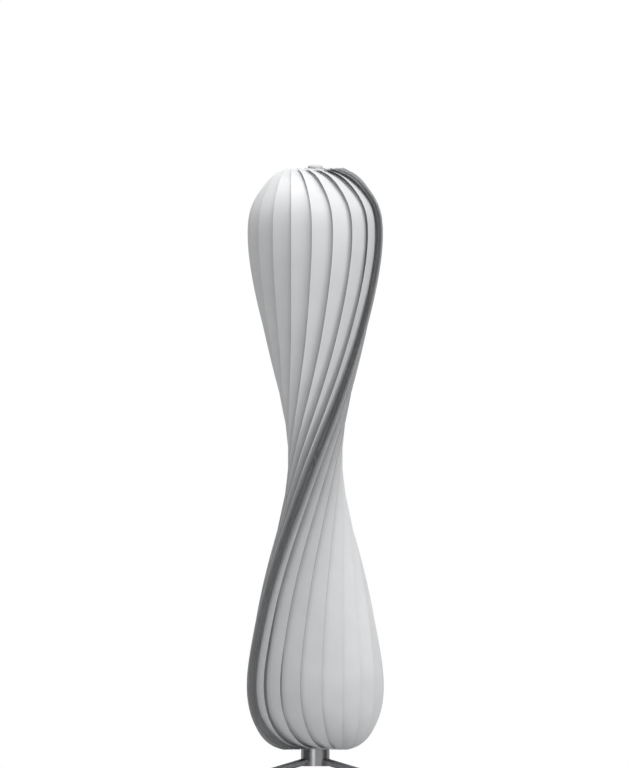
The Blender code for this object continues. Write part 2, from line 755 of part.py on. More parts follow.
def make_bulb(lamp, base, side):
    """An LED bulb: opal globe, the post that carries its LEDs, the screw cap and its contact."""
    place = at(x=side * LAMP_OFFSET, z=base)
    outer = globe_outline(0)
    inner = globe_outline(GLOBE_WALL)
    turned(f"{lamp}_bulb_globe", outer + inner[::-1], GLOBE_FINISH, place, steps=SMALL_STEPS)
    post = [
        (0, POST_TOP),
        (POST_R, POST_TOP),
        (POST_R, GLOBE_SHOULDER),
        (POST_BASE_R, GLOBE_SHOULDER - POST_TAPER),
        (POST_BASE_R, POST_FOOT),
        (0, POST_FOOT),
    ]
    turned(f"{lamp}_led_post", post, POST_FINISH, place, steps=POST_STEPS)
    cap = [
        (CAP_R, CAP_HEIGHT),
        (CAP_R, CAP_CONE_HEIGHT),
        (CAP_BASE_R, 0),
        (CAP_HOLE_R, 0),
        (CAP_HOLE_R, CAP_WALL),
        (CAP_BASE_R - CAP_WALL, CAP_WALL),
        (CAP_R - CAP_WALL, CAP_CONE_HEIGHT + CAP_WALL / 2),
        (CAP_R - CAP_WALL, CAP_HEIGHT),
    ]
    turned(f"{lamp}_bulb_cap", cap, CAP_FINISH, place, ring=True, steps=SMALL_STEPS)
    contact = rod_outline(CONTACT_R, CONTACT_BOTTOM, CONTACT_TOP, CONTACT_EDGE)
    turned(f"{lamp}_bulb_contact", contact, BRASS_FINISH, place, steps=CONTACT_STEPS)


def make_lamps():
    for lamp, (height, side) in LAMPS.items():
        base = height + BRACKET_THICKNESS + GAP
        make_bracket(lamp, height, side)
        make_holder(lamp, base, side)
        make_bulb(lamp, base + BULB_SEAT, side)
        make_lead(lamp, height, side)


def make_lead(lamp, height, side):
    """A lead wire: from the terminal block up inside the tube, out of its side, into the holder's stub."""
    lane = side * WIRE_LANE
    entry = LEAD_ENTRY - side * WIRE_LANE
    block_face = BLOCK_X + BLOCK_SIZE[0] / 2 + GAP
    exit_height = height - WIRE_EXIT_DROP
    bend_x, bend_rise = LEAD_ENTRY_BEND
    route = [
        (block_face, 0, entry),
        (LEAD_ENTRY_X, 0, entry),
        (lane - bend_x, 0, entry + bend_rise),
        (lane, 0, entry + LEAD_ENTRY_RISE),
    ]
    route += [(side * x, 0, exit_height + z) for x, z in LEAD_OUTSIDE]
    curve = bpy.data.curves.new(f"{lamp}_lead", "CURVE")
    curve.dimensions = "3D"
    curve.bevel_depth = WIRE_R
    curve.bevel_resolution = 1
    curve.use_fill_caps = True
    line = curve.splines.new("POLY")
    line.points.add(len(route) - 1)
    for point, place in zip(line.points, route):
        point.co = (*place, 1)
    add_object(f"{lamp}_lead", curve, WIRE_FINISH)


make_strips()
make_disc("top_disc", TOP_DISC_TOP - DISC_THICKNESS, TOP_HOLE, 1)
make_disc("bottom_disc", BOTTOM_DISC_BOTTOM, BOTTOM_HOLE, -1)
make_tube()
make_nuts()
make_finial()
make_hub()
make_hub_cover()
make_legs_and_feet()
make_inlet()
make_terminal_block()
make_lamps()
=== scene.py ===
"""Floor lamp with an hourglass shade of bent strips: its fine meshes and finishes.

Metres, +Z up. The origin is on the floor, on the lamp's axis, and the front faces -Y.
"""

import math

import bmesh
import bpy
import numpy as np
from mathutils import Matrix, Vector


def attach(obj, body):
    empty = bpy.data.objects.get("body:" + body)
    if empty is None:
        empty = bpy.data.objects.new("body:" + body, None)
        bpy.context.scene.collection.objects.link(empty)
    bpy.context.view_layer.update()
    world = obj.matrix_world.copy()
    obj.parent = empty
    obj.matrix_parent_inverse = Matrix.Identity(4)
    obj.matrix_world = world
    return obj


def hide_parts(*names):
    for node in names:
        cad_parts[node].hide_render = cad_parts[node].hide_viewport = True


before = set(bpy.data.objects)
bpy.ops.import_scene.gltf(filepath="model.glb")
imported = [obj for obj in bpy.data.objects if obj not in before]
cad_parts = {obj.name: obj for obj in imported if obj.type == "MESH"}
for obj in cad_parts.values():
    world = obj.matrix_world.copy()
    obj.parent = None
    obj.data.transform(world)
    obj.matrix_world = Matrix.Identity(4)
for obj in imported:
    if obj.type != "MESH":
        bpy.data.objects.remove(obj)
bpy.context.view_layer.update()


# Studio
# A level view from straight in front, with no perspective. The floor is pale and the room white, with
# soft boxes in front, at the right and above. The room's band at eye level is dim, for the steel to mirror.


def colour(hex_value):
    """An sRGB hex colour as linear RGBA."""
    channels = [int(hex_value[i : i + 2], 16) / 255 for i in (0, 2, 4)]
    linear = [c / 12.92 if c <= 0.04045 else ((c + 0.055) / 1.055) ** 2.4 for c in channels]
    return (*linear, 1)


def add_node(tree, kind, sockets=None, **settings):
    """Adds a node. Each socket gets a value, or a link from another node's output."""
    node = tree.nodes.new(kind)
    for name, value in settings.items():
        setattr(node, name, value)
    for socket, value in (sockets or {}).items():
        if isinstance(value, bpy.types.NodeSocket):
            tree.links.new(value, node.inputs[socket])
        else:
            node.inputs[socket].default_value = value
    return node


VIEW_HEIGHT = 0.9008
VIEW_SIDE = -0.0006
VIEW_SPAN = 1.7184
VIEW_DISTANCE = 10.0

camera_data = bpy.data.cameras.new("camera")
camera_data.type = "ORTHO"
camera_data.ortho_scale = VIEW_SPAN
camera = bpy.data.objects.new("camera", camera_data)
camera.location = (VIEW_SIDE, -VIEW_DISTANCE, VIEW_HEIGHT)
camera.rotation_euler = (math.pi / 2, 0, 0)
bpy.context.scene.collection.objects.link(camera)
bpy.context.scene.camera = camera
bpy.context.scene.view_settings.view_transform = "Standard"

# The room's light in each direction is even, and a little more overhead. The band at eye level is dim, and
# has a pale wall in front, a window at the left of the lens and a wall behind the lamp. Each is a soft
# step, or one at each side: the direction's axis, where the step starts and is full, and its light.
ROOM_LIGHT = 0.39
BAND_DARK = 0.06
BAND_HALF_HEIGHT = 0.20
SOFT_STEPS = {
    "front_wall_left": ("X", -0.80, -0.52, 0.42),
    "front_wall_right": ("X", 1.00, 0.78, 1),
    "window_left": ("X", -0.46, -0.34, 0.85),
    "window_right": ("X", 0.02, -0.14, 1),
    "wall_behind": ("Y", 0.10, 0.60, 0.34),
    "overhead": ("Z", -0.60, 0.60, 0.13),
}

world = bpy.data.worlds.new("studio")
bpy.context.scene.world = world
world.use_nodes = True
tree = world.node_tree
tree.nodes.clear()
direction = add_node(tree, "ShaderNodeTexCoord").outputs["Generated"]
axes = add_node(tree, "ShaderNodeSeparateXYZ", {"Vector": direction}).outputs

steps = {}
for name, (axis, start, full, strength) in SOFT_STEPS.items():
    span = {"Value": axes[axis], "From Min": start, "From Max": full, "To Min": 0, "To Max": strength}
    step = add_node(tree, "ShaderNodeMapRange", span, interpolation_type="SMOOTHSTEP")
    steps[name] = step.outputs[0]
in_front = add_node(tree, "ShaderNodeMath", {0: axes["Y"], 1: 0.0}, operation="LESS_THAN").outputs[0]
band = BAND_DARK
for panel in ("front_wall", "window"):
    sides = {0: steps[f"{panel}_left"], 1: steps[f"{panel}_right"]}
    lit_part = add_node(tree, "ShaderNodeMath", sides, operation="MULTIPLY").outputs[0]
    added = {0: lit_part, 1: in_front, 2: band}
    band = add_node(tree, "ShaderNodeMath", added, operation="MULTIPLY_ADD").outputs[0]
band = add_node(tree, "ShaderNodeMath", {0: band, 1: steps["wall_behind"]}, operation="ADD").outputs[0]
above = add_node(tree, "ShaderNodeMath", {0: steps["overhead"], 1: ROOM_LIGHT}, operation="ADD").outputs[0]
off_level = add_node(tree, "ShaderNodeMath", {0: axes["Z"]}, operation="ABSOLUTE").outputs[0]
span = {"Value": off_level, "From Min": BAND_HALF_HEIGHT / 2, "From Max": BAND_HALF_HEIGHT}
outside_band = add_node(tree, "ShaderNodeMapRange", span, interpolation_type="SMOOTHSTEP").outputs[0]
light = add_node(tree, "ShaderNodeMix", {0: outside_band, 2: band, 3: above}, data_type="FLOAT").outputs[0]
seen = add_node(tree, "ShaderNodeBackground", {"Color": (1, 1, 1, 1), "Strength": 1.0})
lit = add_node(tree, "ShaderNodeBackground", {"Color": light, "Strength": 1.0})
ray = add_node(tree, "ShaderNodeLightPath").outputs["Is Camera Ray"]
room = add_node(tree, "ShaderNodeMixShader", {0: ray, 1: lit.outputs[0], 2: seen.outputs[0]})
add_node(tree, "ShaderNodeOutputWorld", {"Surface": room.outputs[0]})


SOFT_BOX_DISTANCE = 3.2
SOFT_BOX_SIZE = 1.4


def add_soft_box(name, azimuth, elevation, power):
    """A square soft box that faces the middle of the lamp; azimuth 0 is in front, 90 at the right."""
    turn, rise = math.radians(azimuth), math.radians(elevation)
    away = Vector((math.sin(turn) * math.cos(rise), -math.cos(turn) * math.cos(rise), math.sin(rise)))
    data = bpy.data.lights.new(name, "AREA")
    data.size = SOFT_BOX_SIZE
    data.energy = power
    box = bpy.data.objects.new(name, data)
    box.location = Vector((0, 0, VIEW_HEIGHT)) + away * SOFT_BOX_DISTANCE
    box.rotation_euler = away.to_track_quat("Z", "Y").to_euler()
    bpy.context.scene.collection.objects.link(box)


add_soft_box("front_soft_box", azimuth=25, elevation=45, power=18)
add_soft_box("side_soft_box", azimuth=60, elevation=15, power=23)
add_soft_box("top_soft_box", azimuth=0, elevation=85, power=42)

FLOOR_R = 1.2
shape = bmesh.new()
bmesh.ops.create_circle(shape, cap_ends=True, segments=96, radius=FLOOR_R)
floor_mesh = bpy.data.meshes.new("floor")
shape.to_mesh(floor_mesh)
shape.free()
floor_paint = bpy.data.materials.new("pale_floor_paint")
floor_paint.use_nodes = True
floor_shader = floor_paint.node_tree.nodes["Principled BSDF"]
floor_shader.inputs["Base Color"].default_value = colour("CFCFD0")
floor_shader.inputs["Roughness"].default_value = 0.8
floor_mesh.materials.append(floor_paint)
floor = bpy.data.objects.new("floor", floor_mesh)
bpy.context.scene.collection.objects.link(floor)


# Shade strips
# Twenty strips of 0.8 mm aluminium sheet, sprayed with a satin white lacquer. Each is cut flat with
# straight edges, is bent only along its length, and hooks at both ends over a headed stud on a disc.

NECK_HEIGHT = 0.7352
STRIP_COUNT = 20
STRIP_PITCH = math.tau / STRIP_COUNT
STRIP_WIDTH = 0.052
STRIP_THICKNESS = 0.0008
STRIP_STATIONS = 150
STRIP_COLUMNS = 4
STRIP_EDGE = 0.00022
END_CROWDING = 0.55
SLOPE_STEP = 0.001
STRIP_PATH = (
    (0.0330, 0.6490),
    (0.0755, 0.6325),
    (0.1060, 0.6050),
    (0.1345, 0.5560),
    (0.1412, 0.5050),
    (0.1330, 0.4170),
    (0.1090, 0.3100),
    (0.0770, 0.2030),
    (0.0390, 0.0980),
    (0.0000, 0.0000),
    (-0.0395, -0.1050),
    (-0.0750, -0.2040),
    (-0.1075, -0.3120),
    (-0.1305, -0.4190),
    (-0.1410, -0.5100),
    (-0.1320, -0.5730),
    (-0.0990, -0.6275),
    (-0.0680, -0.6460),
    (-0.0345, -0.6525),
)
EDGE_OFFSET_TOP = 0.054
EDGE_OFFSET_NECK = 0.061
EDGE_SHIFT_HEIGHT = 0.30
END_TILT = 0.10
TILT_FROM, TILT_TO = 0.56, 0.64
HOLE_FROM_END = 0.0030
HOLE_FROM_EDGE_TOP = 0.0435
HOLE_FROM_EDGE_BOTTOM = 0.0445
HOLE_R = 0.0014
HOLE_SIDES = 20
HALF_DRILL = Vector((0, 0, 0.004))
EDGE_FACING = 0.7


def smooth_curve(points):
    """A function of 0..1 that runs through the points with even curvature (a natural cubic spline)."""
    points = np.array(points)
    chord = np.concatenate([[0], np.cumsum(np.linalg.norm(np.diff(points, axis=0), axis=1))])
    step = np.diff(chord)
    last = len(points) - 1
    system = np.eye(last + 1)
    right = np.zeros_like(points)
    for i in range(1, last):
        system[i, i - 1 : i + 2] = step[i - 1], 2 * (step[i - 1] + step[i]), step[i]
        right[i] = 6 * (
            (points[i + 1] - points[i]) / step[i] - (points[i] - points[i - 1]) / step[i - 1]
        )
    bend = np.linalg.solve(system, right)

    def place(fraction):
        along = fraction * chord[-1]
        i = min(max(int(np.searchsorted(chord, along, side="right")) - 1, 0), last - 1)
        a = (chord[i + 1] - along) / step[i]
        b = 1 - a
        curl = (a**3 - a) * bend[i] + (b**3 - b) * bend[i + 1]
        return a * points[i] + b * points[i + 1] + curl * step[i] ** 2 / 6

    return place


def ease(value, low, high):
    """0 below low, 1 above high, and a smooth step between."""
    share = min(max((value - low) / (high - low), 0), 1)
    return share * share * (3 - 2 * share)


strip_path = smooth_curve(STRIP_PATH)
STRIP_LENGTH = sum(math.dist(*pair) for pair in zip(STRIP_PATH, STRIP_PATH[1:]))


def strip_point(fraction, from_edge):
    """A point on the first strip's middle surface, that far down it and in from its outer edge."""
    distance, height = strip_path(fraction)
    before = strip_path(max(fraction - SLOPE_STEP, 0))
    after = strip_path(min(fraction + SLOPE_STEP, 1))
    along = (after - before) / np.linalg.norm(after - before)
    tilt = END_TILT * ease(abs(height), TILT_FROM, TILT_TO)
    drop = math.copysign(tilt, height) * from_edge
    shift = ease(height, 0, EDGE_SHIFT_HEIGHT)
    offset = EDGE_OFFSET_NECK + (EDGE_OFFSET_TOP - EDGE_OFFSET_NECK) * shift
    distance += along[1] * drop
    height -= along[0] * drop
    return Vector((from_edge - offset, -distance, NECK_HEIGHT + height))


def evaluated_shape(obj):
    """The object's shape with its modifiers applied. The object is removed."""
    graph = bpy.context.evaluated_depsgraph_get()
    mesh = bpy.data.meshes.new_from_object(obj.evaluated_get(graph))
    shape = bmesh.new()
    shape.from_mesh(mesh)
    bpy.data.objects.remove(obj, do_unlink=True)
    bpy.data.meshes.remove(mesh)
    return shape


def make_object(name, shape, *finishes):
    """An object at the origin with this shape, shaded smooth up to 35 degrees."""
    mesh = bpy.data.meshes.new(name)
    shape.to_mesh(mesh)
    shape.free()
    for finish in finishes:
        mesh.materials.append(finish)
    mesh.shade_smooth()
    mesh.set_sharp_from_angle(angle=math.radians(35))
    obj = bpy.data.objects.new(name, mesh)
    bpy.context.scene.collection.objects.link(obj)
    return obj


def carve(shape, tool, operation="DIFFERENCE"):
    """The shape with the tool's shape cut from it, joined to it, or kept where both are."""
    body = make_object("carved", shape)
    cutter = make_object("cutter", tool)
    modifier = body.modifiers.new("carve", "BOOLEAN")
    modifier.operation = operation
    modifier.solver = "EXACT"
    modifier.object = cutter
    result = evaluated_shape(body)
    bpy.data.objects.remove(cutter, do_unlink=True)
    return result


def rod(start, end, radius, sides=32):
    """The shape of a round bar from start to end."""
    start, end = Vector(start), Vector(end)
    shape = bmesh.new()
    turn = (end - start).to_track_quat("Z", "Y").to_matrix().to_4x4()
    bmesh.ops.create_cone(
        shape,
        cap_ends=True,
        segments=sides,
        radius1=radius,
        radius2=radius,
        depth=(end - start).length,
        matrix=Matrix.Translation((start + end) / 2) @ turn,
    )
    return shape


def soften(obj, width, segments=3):
    """Rounds every edge sharper than 30 degrees."""
    rounding = obj.modifiers.new("rounding", "BEVEL")
    rounding.width = width
    rounding.segments = segments
    rounding.limit_method = "ANGLE"
    rounding.angle_limit = math.radians(30)
    rounding.use_clamp_overlap = True
    rounding.harden_normals = False


def new_finish(name, hex_value, roughness, metallic=0.0):
    """A material and its Principled shader."""
    finish = bpy.data.materials.new(name)
    finish.use_nodes = True
    shader = finish.node_tree.nodes["Principled BSDF"]
    shader.inputs["Base Color"].default_value = colour(hex_value)
    shader.inputs["Roughness"].default_value = roughness
    shader.inputs["Metallic"].default_value = metallic
    return finish, finish.node_tree, shader


# A Mix node's colour sockets, which share their names with its number and vector ones.
MIX_A, MIX_B, MIX_RESULT = 6, 7, 2


def vary(tree, shader, pattern, tones=(), gloss=(), gloss_from=(0, 1), relief=()):
    """Lets a pattern change a finish: between two tones, between two roughnesses, and as a relief.

    The roughness goes from one value to the other as the pattern goes through gloss_from. A relief is
    its strength and its depth in metres.
    """
    if tones:
        sockets = {0: pattern, MIX_A: colour(tones[0]), MIX_B: colour(tones[1])}
        tone = add_node(tree, "ShaderNodeMix", sockets, data_type="RGBA")
        tree.links.new(tone.outputs[MIX_RESULT], shader.inputs["Base Color"])
    if gloss:
        sockets = dict(zip(("From Min", "From Max", "To Min", "To Max"), (*gloss_from, *gloss)))
        roughness = add_node(tree, "ShaderNodeMapRange", {"Value": pattern, **sockets})
        tree.links.new(roughness.outputs[0], shader.inputs["Roughness"])
    if relief:
        strength, depth = relief
        sockets = {"Strength": strength, "Distance": depth, "Height": pattern}
        tree.links.new(add_node(tree, "ShaderNodeBump", sockets).outputs[0], shader.inputs["Normal"])


def grained_finish(name, hex_value, roughness, metallic=0.0, *, grain_mm, detail=3, **looks):
    """A material with one fine grain all over, and its shader. The looks are what the grain varies."""
    finish, tree, shader = new_finish(name, hex_value, roughness, metallic)
    place = add_node(tree, "ShaderNodeTexCoord").outputs["Object"]
    sockets = {"Vector": place, "Scale": 1000 / grain_mm, "Detail": detail}
    grain = add_node(tree, "ShaderNodeTexNoise", sockets)
    vary(tree, shader, grain.outputs["Fac"], **looks)
    return finish, shader


# White lacquer sprayed on rolled aluminium: satin, with fine orange peel, and faint rolling streaks
# along the strip that only show close up.
STREAK_WIDTH_MM = 0.7
STREAK_LENGTH_MM = 45
CLOUD_MM = 60
LACQUER_RIPPLE_MM = 1.6
STREAK_SHARE = 0.6
lacquered_sheet, tree, shader = new_finish("satin_white_lacquer_on_sheet", "E6E7E8", 0.42)
flat = add_node(tree, "ShaderNodeTexCoord").outputs["UV"]
streak_scale = (1000 * STRIP_WIDTH / STREAK_WIDTH_MM, 1000 * STRIP_LENGTH / STREAK_LENGTH_MM, 1)
stretched = add_node(tree, "ShaderNodeMapping", {"Vector": flat, "Scale": streak_scale}).outputs[0]
sockets = {"Vector": stretched, "Scale": 1, "Detail": 5, "Roughness": 0.6}
streak = add_node(tree, "ShaderNodeTexNoise", sockets).outputs["Fac"]
place = add_node(tree, "ShaderNodeTexCoord").outputs["Object"]
cloud = add_node(tree, "ShaderNodeTexNoise", {"Vector": place, "Scale": 1000 / CLOUD_MM, "Detail": 2})
ripple = add_node(
    tree, "ShaderNodeTexNoise", {"Vector": place, "Scale": 1000 / LACQUER_RIPPLE_MM, "Detail": 2}
)
sockets = {0: streak, 1: STREAK_SHARE, 2: cloud.outputs["Fac"]}
tone = add_node(tree, "ShaderNodeMath", sockets, operation="MULTIPLY_ADD")
share = add_node(tree, "ShaderNodeMapRange", {"Value": tone.outputs[0], "From Min": 0.5, "From Max": 1.1})
vary(tree, shader, share.outputs[0], tones=("E3E4E5", "EAEBEC"))
vary(tree, shader, streak, gloss=(0.38, 0.46), gloss_from=(0.3, 0.7))
pores = add_node(tree, "ShaderNodeBump", {"Strength": 0.25, "Distance": 0.00005, "Height": streak})
surface = add_node(
    tree,
    "ShaderNodeBump",
    {"Strength": 0.2, "Distance": 0.00008, "Height": ripple.outputs["Fac"], "Normal": pores.outputs[0]},
)
tree.links.new(surface.outputs[0], shader.inputs["Normal"])
shader.inputs["Coat Weight"].default_value = 0.15
shader.inputs["Coat Roughness"].default_value = 0.30

# The cut edges are painted dark grey as painted shade, for the dark lines in the gaps between the strips; they
# are duller, with short marks from the shear.
EDGE_MARK_MM = 0.5
dark_edge_painted_shade, _ = grained_finish(
    "painted_shade_on_sheared_edges", "7C7D7F", 0.55, grain_mm=EDGE_MARK_MM, tones=("747577", "868789")
)


def station(index):
    """Where a station lies along the strip: closer together towards both ends."""
    even = index / STRIP_STATIONS
    crowded = (1 - math.cos(math.pi * even)) / 2
    return (1 - END_CROWDING) * even + END_CROWDING * crowded


shape = bmesh.new()
shape.loops.layers.uv.new("flat_strip")
bmesh.ops.create_grid(
    shape, x_segments=STRIP_COLUMNS, y_segments=STRIP_STATIONS, size=0.5, calc_uvs=True
)
for vert in shape.verts:
    index = round((0.5 - vert.co.y) * STRIP_STATIONS)
    vert.co = strip_point(station(index), (vert.co.x + 0.5) * STRIP_WIDTH)
bmesh.ops.recalc_face_normals(shape, faces=shape.faces)
ribbon = make_object("ribbon", shape)
wall = ribbon.modifiers.new("thickness", "SOLIDIFY")
wall.thickness = STRIP_THICKNESS
wall.offset = 0
first_strip = evaluated_shape(ribbon)
HOLE_FRACTION = HOLE_FROM_END / STRIP_LENGTH
TOP_HOLE = strip_point(HOLE_FRACTION, HOLE_FROM_EDGE_TOP)
BOTTOM_HOLE = strip_point(1 - HOLE_FRACTION, HOLE_FROM_EDGE_BOTTOM)
for hole in (TOP_HOLE, BOTTOM_HOLE):
    first_strip = carve(first_strip, rod(hole - HALF_DRILL, hole + HALF_DRILL, HOLE_R, HOLE_SIDES))
# The first strip's width runs along X, so its long cut edges face that way.
# Those edge faces take the second finish, the dark grey of painted shade.
for face in first_strip.faces:
    if abs(face.normal.x) > EDGE_FACING:
        face.material_index = 1
for i in range(STRIP_COUNT):
    shape = first_strip.copy()
    turn = Matrix.Rotation(STRIP_PITCH * i, 3, "Z")
    bmesh.ops.rotate(shape, cent=(0, 0, 0), matrix=turn, verts=shape.verts)
    strip = make_object(f"shade_strip_{i + 1:02d}", shape, lacquered_sheet, dark_edge_painted_shade)
    soften(strip, STRIP_EDGE, segments=2)
    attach(strip, "stand")
    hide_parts(f"strip_{i + 1:02d}")
first_strip.free()


# Hub
# The lamp's foot: a cylinder turned from stainless bar and polished, with a wiring chamber above and
# a nut recess below. Four tapped bores take the legs, and one at the back takes the mains inlet.

GAP = 0.0003
HUB_R = 0.0320
HUB_BOTTOM = 0.0454
HUB_TOP = 0.0908
CHAMBER_R = 0.0260
CHAMBER_FLOOR = 0.0705
NUT_RECESS_R = 0.0110
NUT_RECESS_TOP = 0.0545
COVER_R = 0.0180
COVER_THICKNESS = 0.0015
TUBE_HOLE_R = 0.0053
LEG_COUNT = 4
LEG_R = 0.0080
LEG_SLOPE = math.radians(12)
LEG_HEIGHT_AT_HUB = 0.0563
LEG_START = 0.0143
LEG_REACH = 0.2320
GLAND_HEIGHT = 0.0785
GLAND_R = 0.0048
MERGE_DISTANCE = 0.000001


def spun(outline, steps=96, ring=False, matrix=None):
    """A turned shape. The outline's (radius, height) points run down its outer side.

    A ring's outline is closed, with its bore's wall going back up.
    """
    shape = bmesh.new()
    points = [shape.verts.new((radius, 0, height)) for radius, height in outline]
    ends = points[1:] + points[:1] if ring else points[1:]
    edges = [shape.edges.new(pair) for pair in zip(points, ends)]
    bmesh.ops.spin(
        shape,
        geom=points + edges,
        cent=(0, 0, 0),
        axis=(0, 0, 1),
        angle=math.tau,
        steps=steps,
        use_merge=True,
    )
    bmesh.ops.remove_doubles(shape, verts=shape.verts, dist=MERGE_DISTANCE)
    bmesh.ops.recalc_face_normals(shape, faces=shape.faces)
    if matrix is not None:
        bmesh.ops.transform(shape, matrix=matrix, verts=shape.verts)
    return shape


def lathe_lines(tree, line_mm):
    """A pattern that changes only with height and with distance from the lamp's axis."""
    place = add_node(tree, "ShaderNodeTexCoord").outputs["Object"]
    parts = add_node(tree, "ShaderNodeSeparateXYZ", {"Vector": place}).outputs
    across = add_node(tree, "ShaderNodeCombineXYZ", {"X": parts["X"], "Y": parts["Y"]})
    radius = add_node(tree, "ShaderNodeVectorMath", {0: across.outputs[0]}, operation="LENGTH")
    section = add_node(tree, "ShaderNodeCombineXYZ", {"X": radius.outputs["Value"], "Z": parts["Z"]})
    lines = add_node(
        tree,
        "ShaderNodeTexNoise",
        {"Vector": section.outputs[0], "Scale": 1000 / line_mm, "Detail": 3, "Roughness": 0.6},
    )
    return lines.outputs["Fac"], place


# Stainless steel, turned and polished: near mirror, with fine rings round it and soft wipe marks.
# Real polishing lines are under 0.05 mm; these are coarser, so that they show.
LATHE_LINE_MM = 0.35
WIPE_MM = 14
polished_hub_steel, tree, shader = new_finish("polished_turned_stainless", "B4B5B7", 0.16, 1.0)
lines, place = lathe_lines(tree, LATHE_LINE_MM)
wipe = add_node(tree, "ShaderNodeTexNoise", {"Vector": place, "Scale": 1000 / WIPE_MM, "Detail": 4})
marks = add_node(
    tree, "ShaderNodeMath", {0: lines, 1: 0.5, 2: wipe.outputs["Fac"]}, operation="MULTIPLY_ADD"
)
vary(tree, shader, marks.outputs[0], gloss=(0.12, 0.21), gloss_from=(0.5, 1.0))
vary(tree, shader, lines, relief=(0.10, 0.00002))
shader.inputs["Anisotropic"].default_value = 0.25


def leg_direction(index):
    """The level direction that a leg points in, away from the lamp's axis."""
    return Matrix.Rotation(math.tau / LEG_COUNT * (index + 0.5), 3, "Z") @ Vector((1, 0, 0))


def leg_point(index, radius):
    """The point on a leg's axis at that distance from the lamp's axis."""
    point = leg_direction(index) * radius
    point.z = LEG_HEIGHT_AT_HUB - (radius - HUB_R) * math.tan(LEG_SLOPE)
    return point


COVER_RECESS = HUB_BOTTOM + COVER_THICKNESS + GAP
BORE_SIDES = 48
OVERSHOOT = 0.010
HUB_EDGE = 0.0005
hub_shape = spun(
    [
        (HUB_R, HUB_TOP),
        (HUB_R, HUB_BOTTOM),
        (COVER_R + GAP, HUB_BOTTOM),
        (COVER_R + GAP, COVER_RECESS),
        (NUT_RECESS_R, COVER_RECESS),
        (NUT_RECESS_R, NUT_RECESS_TOP),
        (TUBE_HOLE_R, NUT_RECESS_TOP),
        (TUBE_HOLE_R, CHAMBER_FLOOR),
        (CHAMBER_R, CHAMBER_FLOOR),
        (CHAMBER_R, HUB_TOP),
    ],
    ring=True,
)
for i in range(LEG_COUNT):
    bore = rod(leg_point(i, LEG_START - GAP), leg_point(i, HUB_R + OVERSHOOT), LEG_R + GAP / 2, BORE_SIDES)
    hub_shape = carve(hub_shape, bore)
inlet = rod((0, CHAMBER_R - OVERSHOOT, GLAND_HEIGHT), (0, HUB_R + OVERSHOOT, GLAND_HEIGHT), GLAND_R + GAP)
hub = make_object("hub_turned", carve(hub_shape, inlet), polished_hub_steel)
soften(hub, HUB_EDGE)
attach(hub, "stand")
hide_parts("hub")


# Legs
# Four bars of 16 mm stainless, polished, with broken edges. Each is screwed into the hub and slopes
# down to its foot, and has a blind hole underneath for the foot's stem.

# Stainless bar after polishing along its length: a little duller than the hub, with small scratches.
SCRATCH_MM = 0.6
polished_bar_steel, tree, shader = new_finish("polished_stainless_bar", "A6A7A9", 0.22, 1.0)
place = add_node(tree, "ShaderNodeTexCoord").outputs["Object"]
wipe = add_node(tree, "ShaderNodeTexNoise", {"Vector": place, "Scale": 1000 / WIPE_MM, "Detail": 4})
scratch = add_node(
    tree,
    "ShaderNodeTexNoise",
    {"Vector": place, "Scale": 1000 / SCRATCH_MM, "Detail": 3, "Distortion": 2.0},
)
marks = add_node(
    tree,
    "ShaderNodeMath",
    {0: scratch.outputs["Fac"], 1: 0.5, 2: wipe.outputs["Fac"]},
    operation="MULTIPLY_ADD",
)
vary(tree, shader, marks.outputs[0], gloss=(0.17, 0.29), gloss_from=(0.5, 1.0))
vary(tree, shader, scratch.outputs["Fac"], relief=(0.08, 0.00003))

FOOT_RADIUS = 0.2200
STEM_R = 0.0025
STEM_TOP = 0.0145
SOCKET_LOW = 0.0040
END_ALLOWANCE = 0.0012
BAR_SIDES = 64
SMALL_SIDES = 24
BAR_EDGE = 0.0008
for i in range(LEG_COUNT):
    bar = rod(leg_point(i, LEG_START), leg_point(i, LEG_REACH - END_ALLOWANCE), LEG_R, BAR_SIDES)
    foot_place = leg_direction(i) * FOOT_RADIUS
    low = Vector((foot_place.x, foot_place.y, SOCKET_LOW))
    high = Vector((foot_place.x, foot_place.y, STEM_TOP + GAP))
    bar = carve(bar, rod(low, high, STEM_R + GAP, SMALL_SIDES))
    leg = make_object(f"leg_bar_{i + 1}", bar, polished_bar_steel)
    soften(leg, BAR_EDGE)
    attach(leg, "stand")
    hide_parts(f"leg_{i + 1}")


# Feet
# A moulded rubber pad under each leg's end, with a saddle that the bar sits in, a stem pressed into
# the bar, and a shallow dish underneath so that the rim grips the floor.

FOOT_R = 0.0090
FOOT_TOP = 0.0105
DISH_R = 0.0060
DISH_DEPTH = 0.0006
PAD_EDGE = 0.0006
HALF_SADDLE = 0.03

# Black rubber, moulded matt: no gloss, with a fine spark-eroded grain.
RUBBER_GRAIN_MM = 0.5
black_rubber, _ = grained_finish(
    "moulded_black_rubber",
    "1B1B1C",
    0.8,
    grain_mm=RUBBER_GRAIN_MM,
    detail=4,
    tones=("161617", "262627"),
    relief=(0.5, 0.0001),
)

for i in range(LEG_COUNT):
    foot_place = leg_direction(i) * FOOT_RADIUS
    pad = spun(
        [
            (0, FOOT_TOP),
            (FOOT_R, FOOT_TOP),
            (FOOT_R, 0),
            (DISH_R + DISH_DEPTH, 0),
            (DISH_R, DISH_DEPTH),
            (0, DISH_DEPTH),
        ],
        steps=BAR_SIDES,
        matrix=Matrix.Translation(foot_place),
    )
    saddle_ends = [leg_point(i, FOOT_RADIUS + way * HALF_SADDLE) for way in (-1, 1)]
    pad = carve(pad, rod(*saddle_ends, LEG_R + GAP / 2, BAR_SIDES))
    low = Vector((foot_place.x, foot_place.y, SOCKET_LOW))
    high = Vector((foot_place.x, foot_place.y, STEM_TOP))
    pad = carve(pad, rod(low, high, STEM_R, SMALL_SIDES), "UNION")
    foot = make_object(f"foot_pad_{i + 1}", pad, black_rubber)
    soften(foot, PAD_EDGE)
    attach(foot, "stand")
    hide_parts(f"foot_{i + 1}")
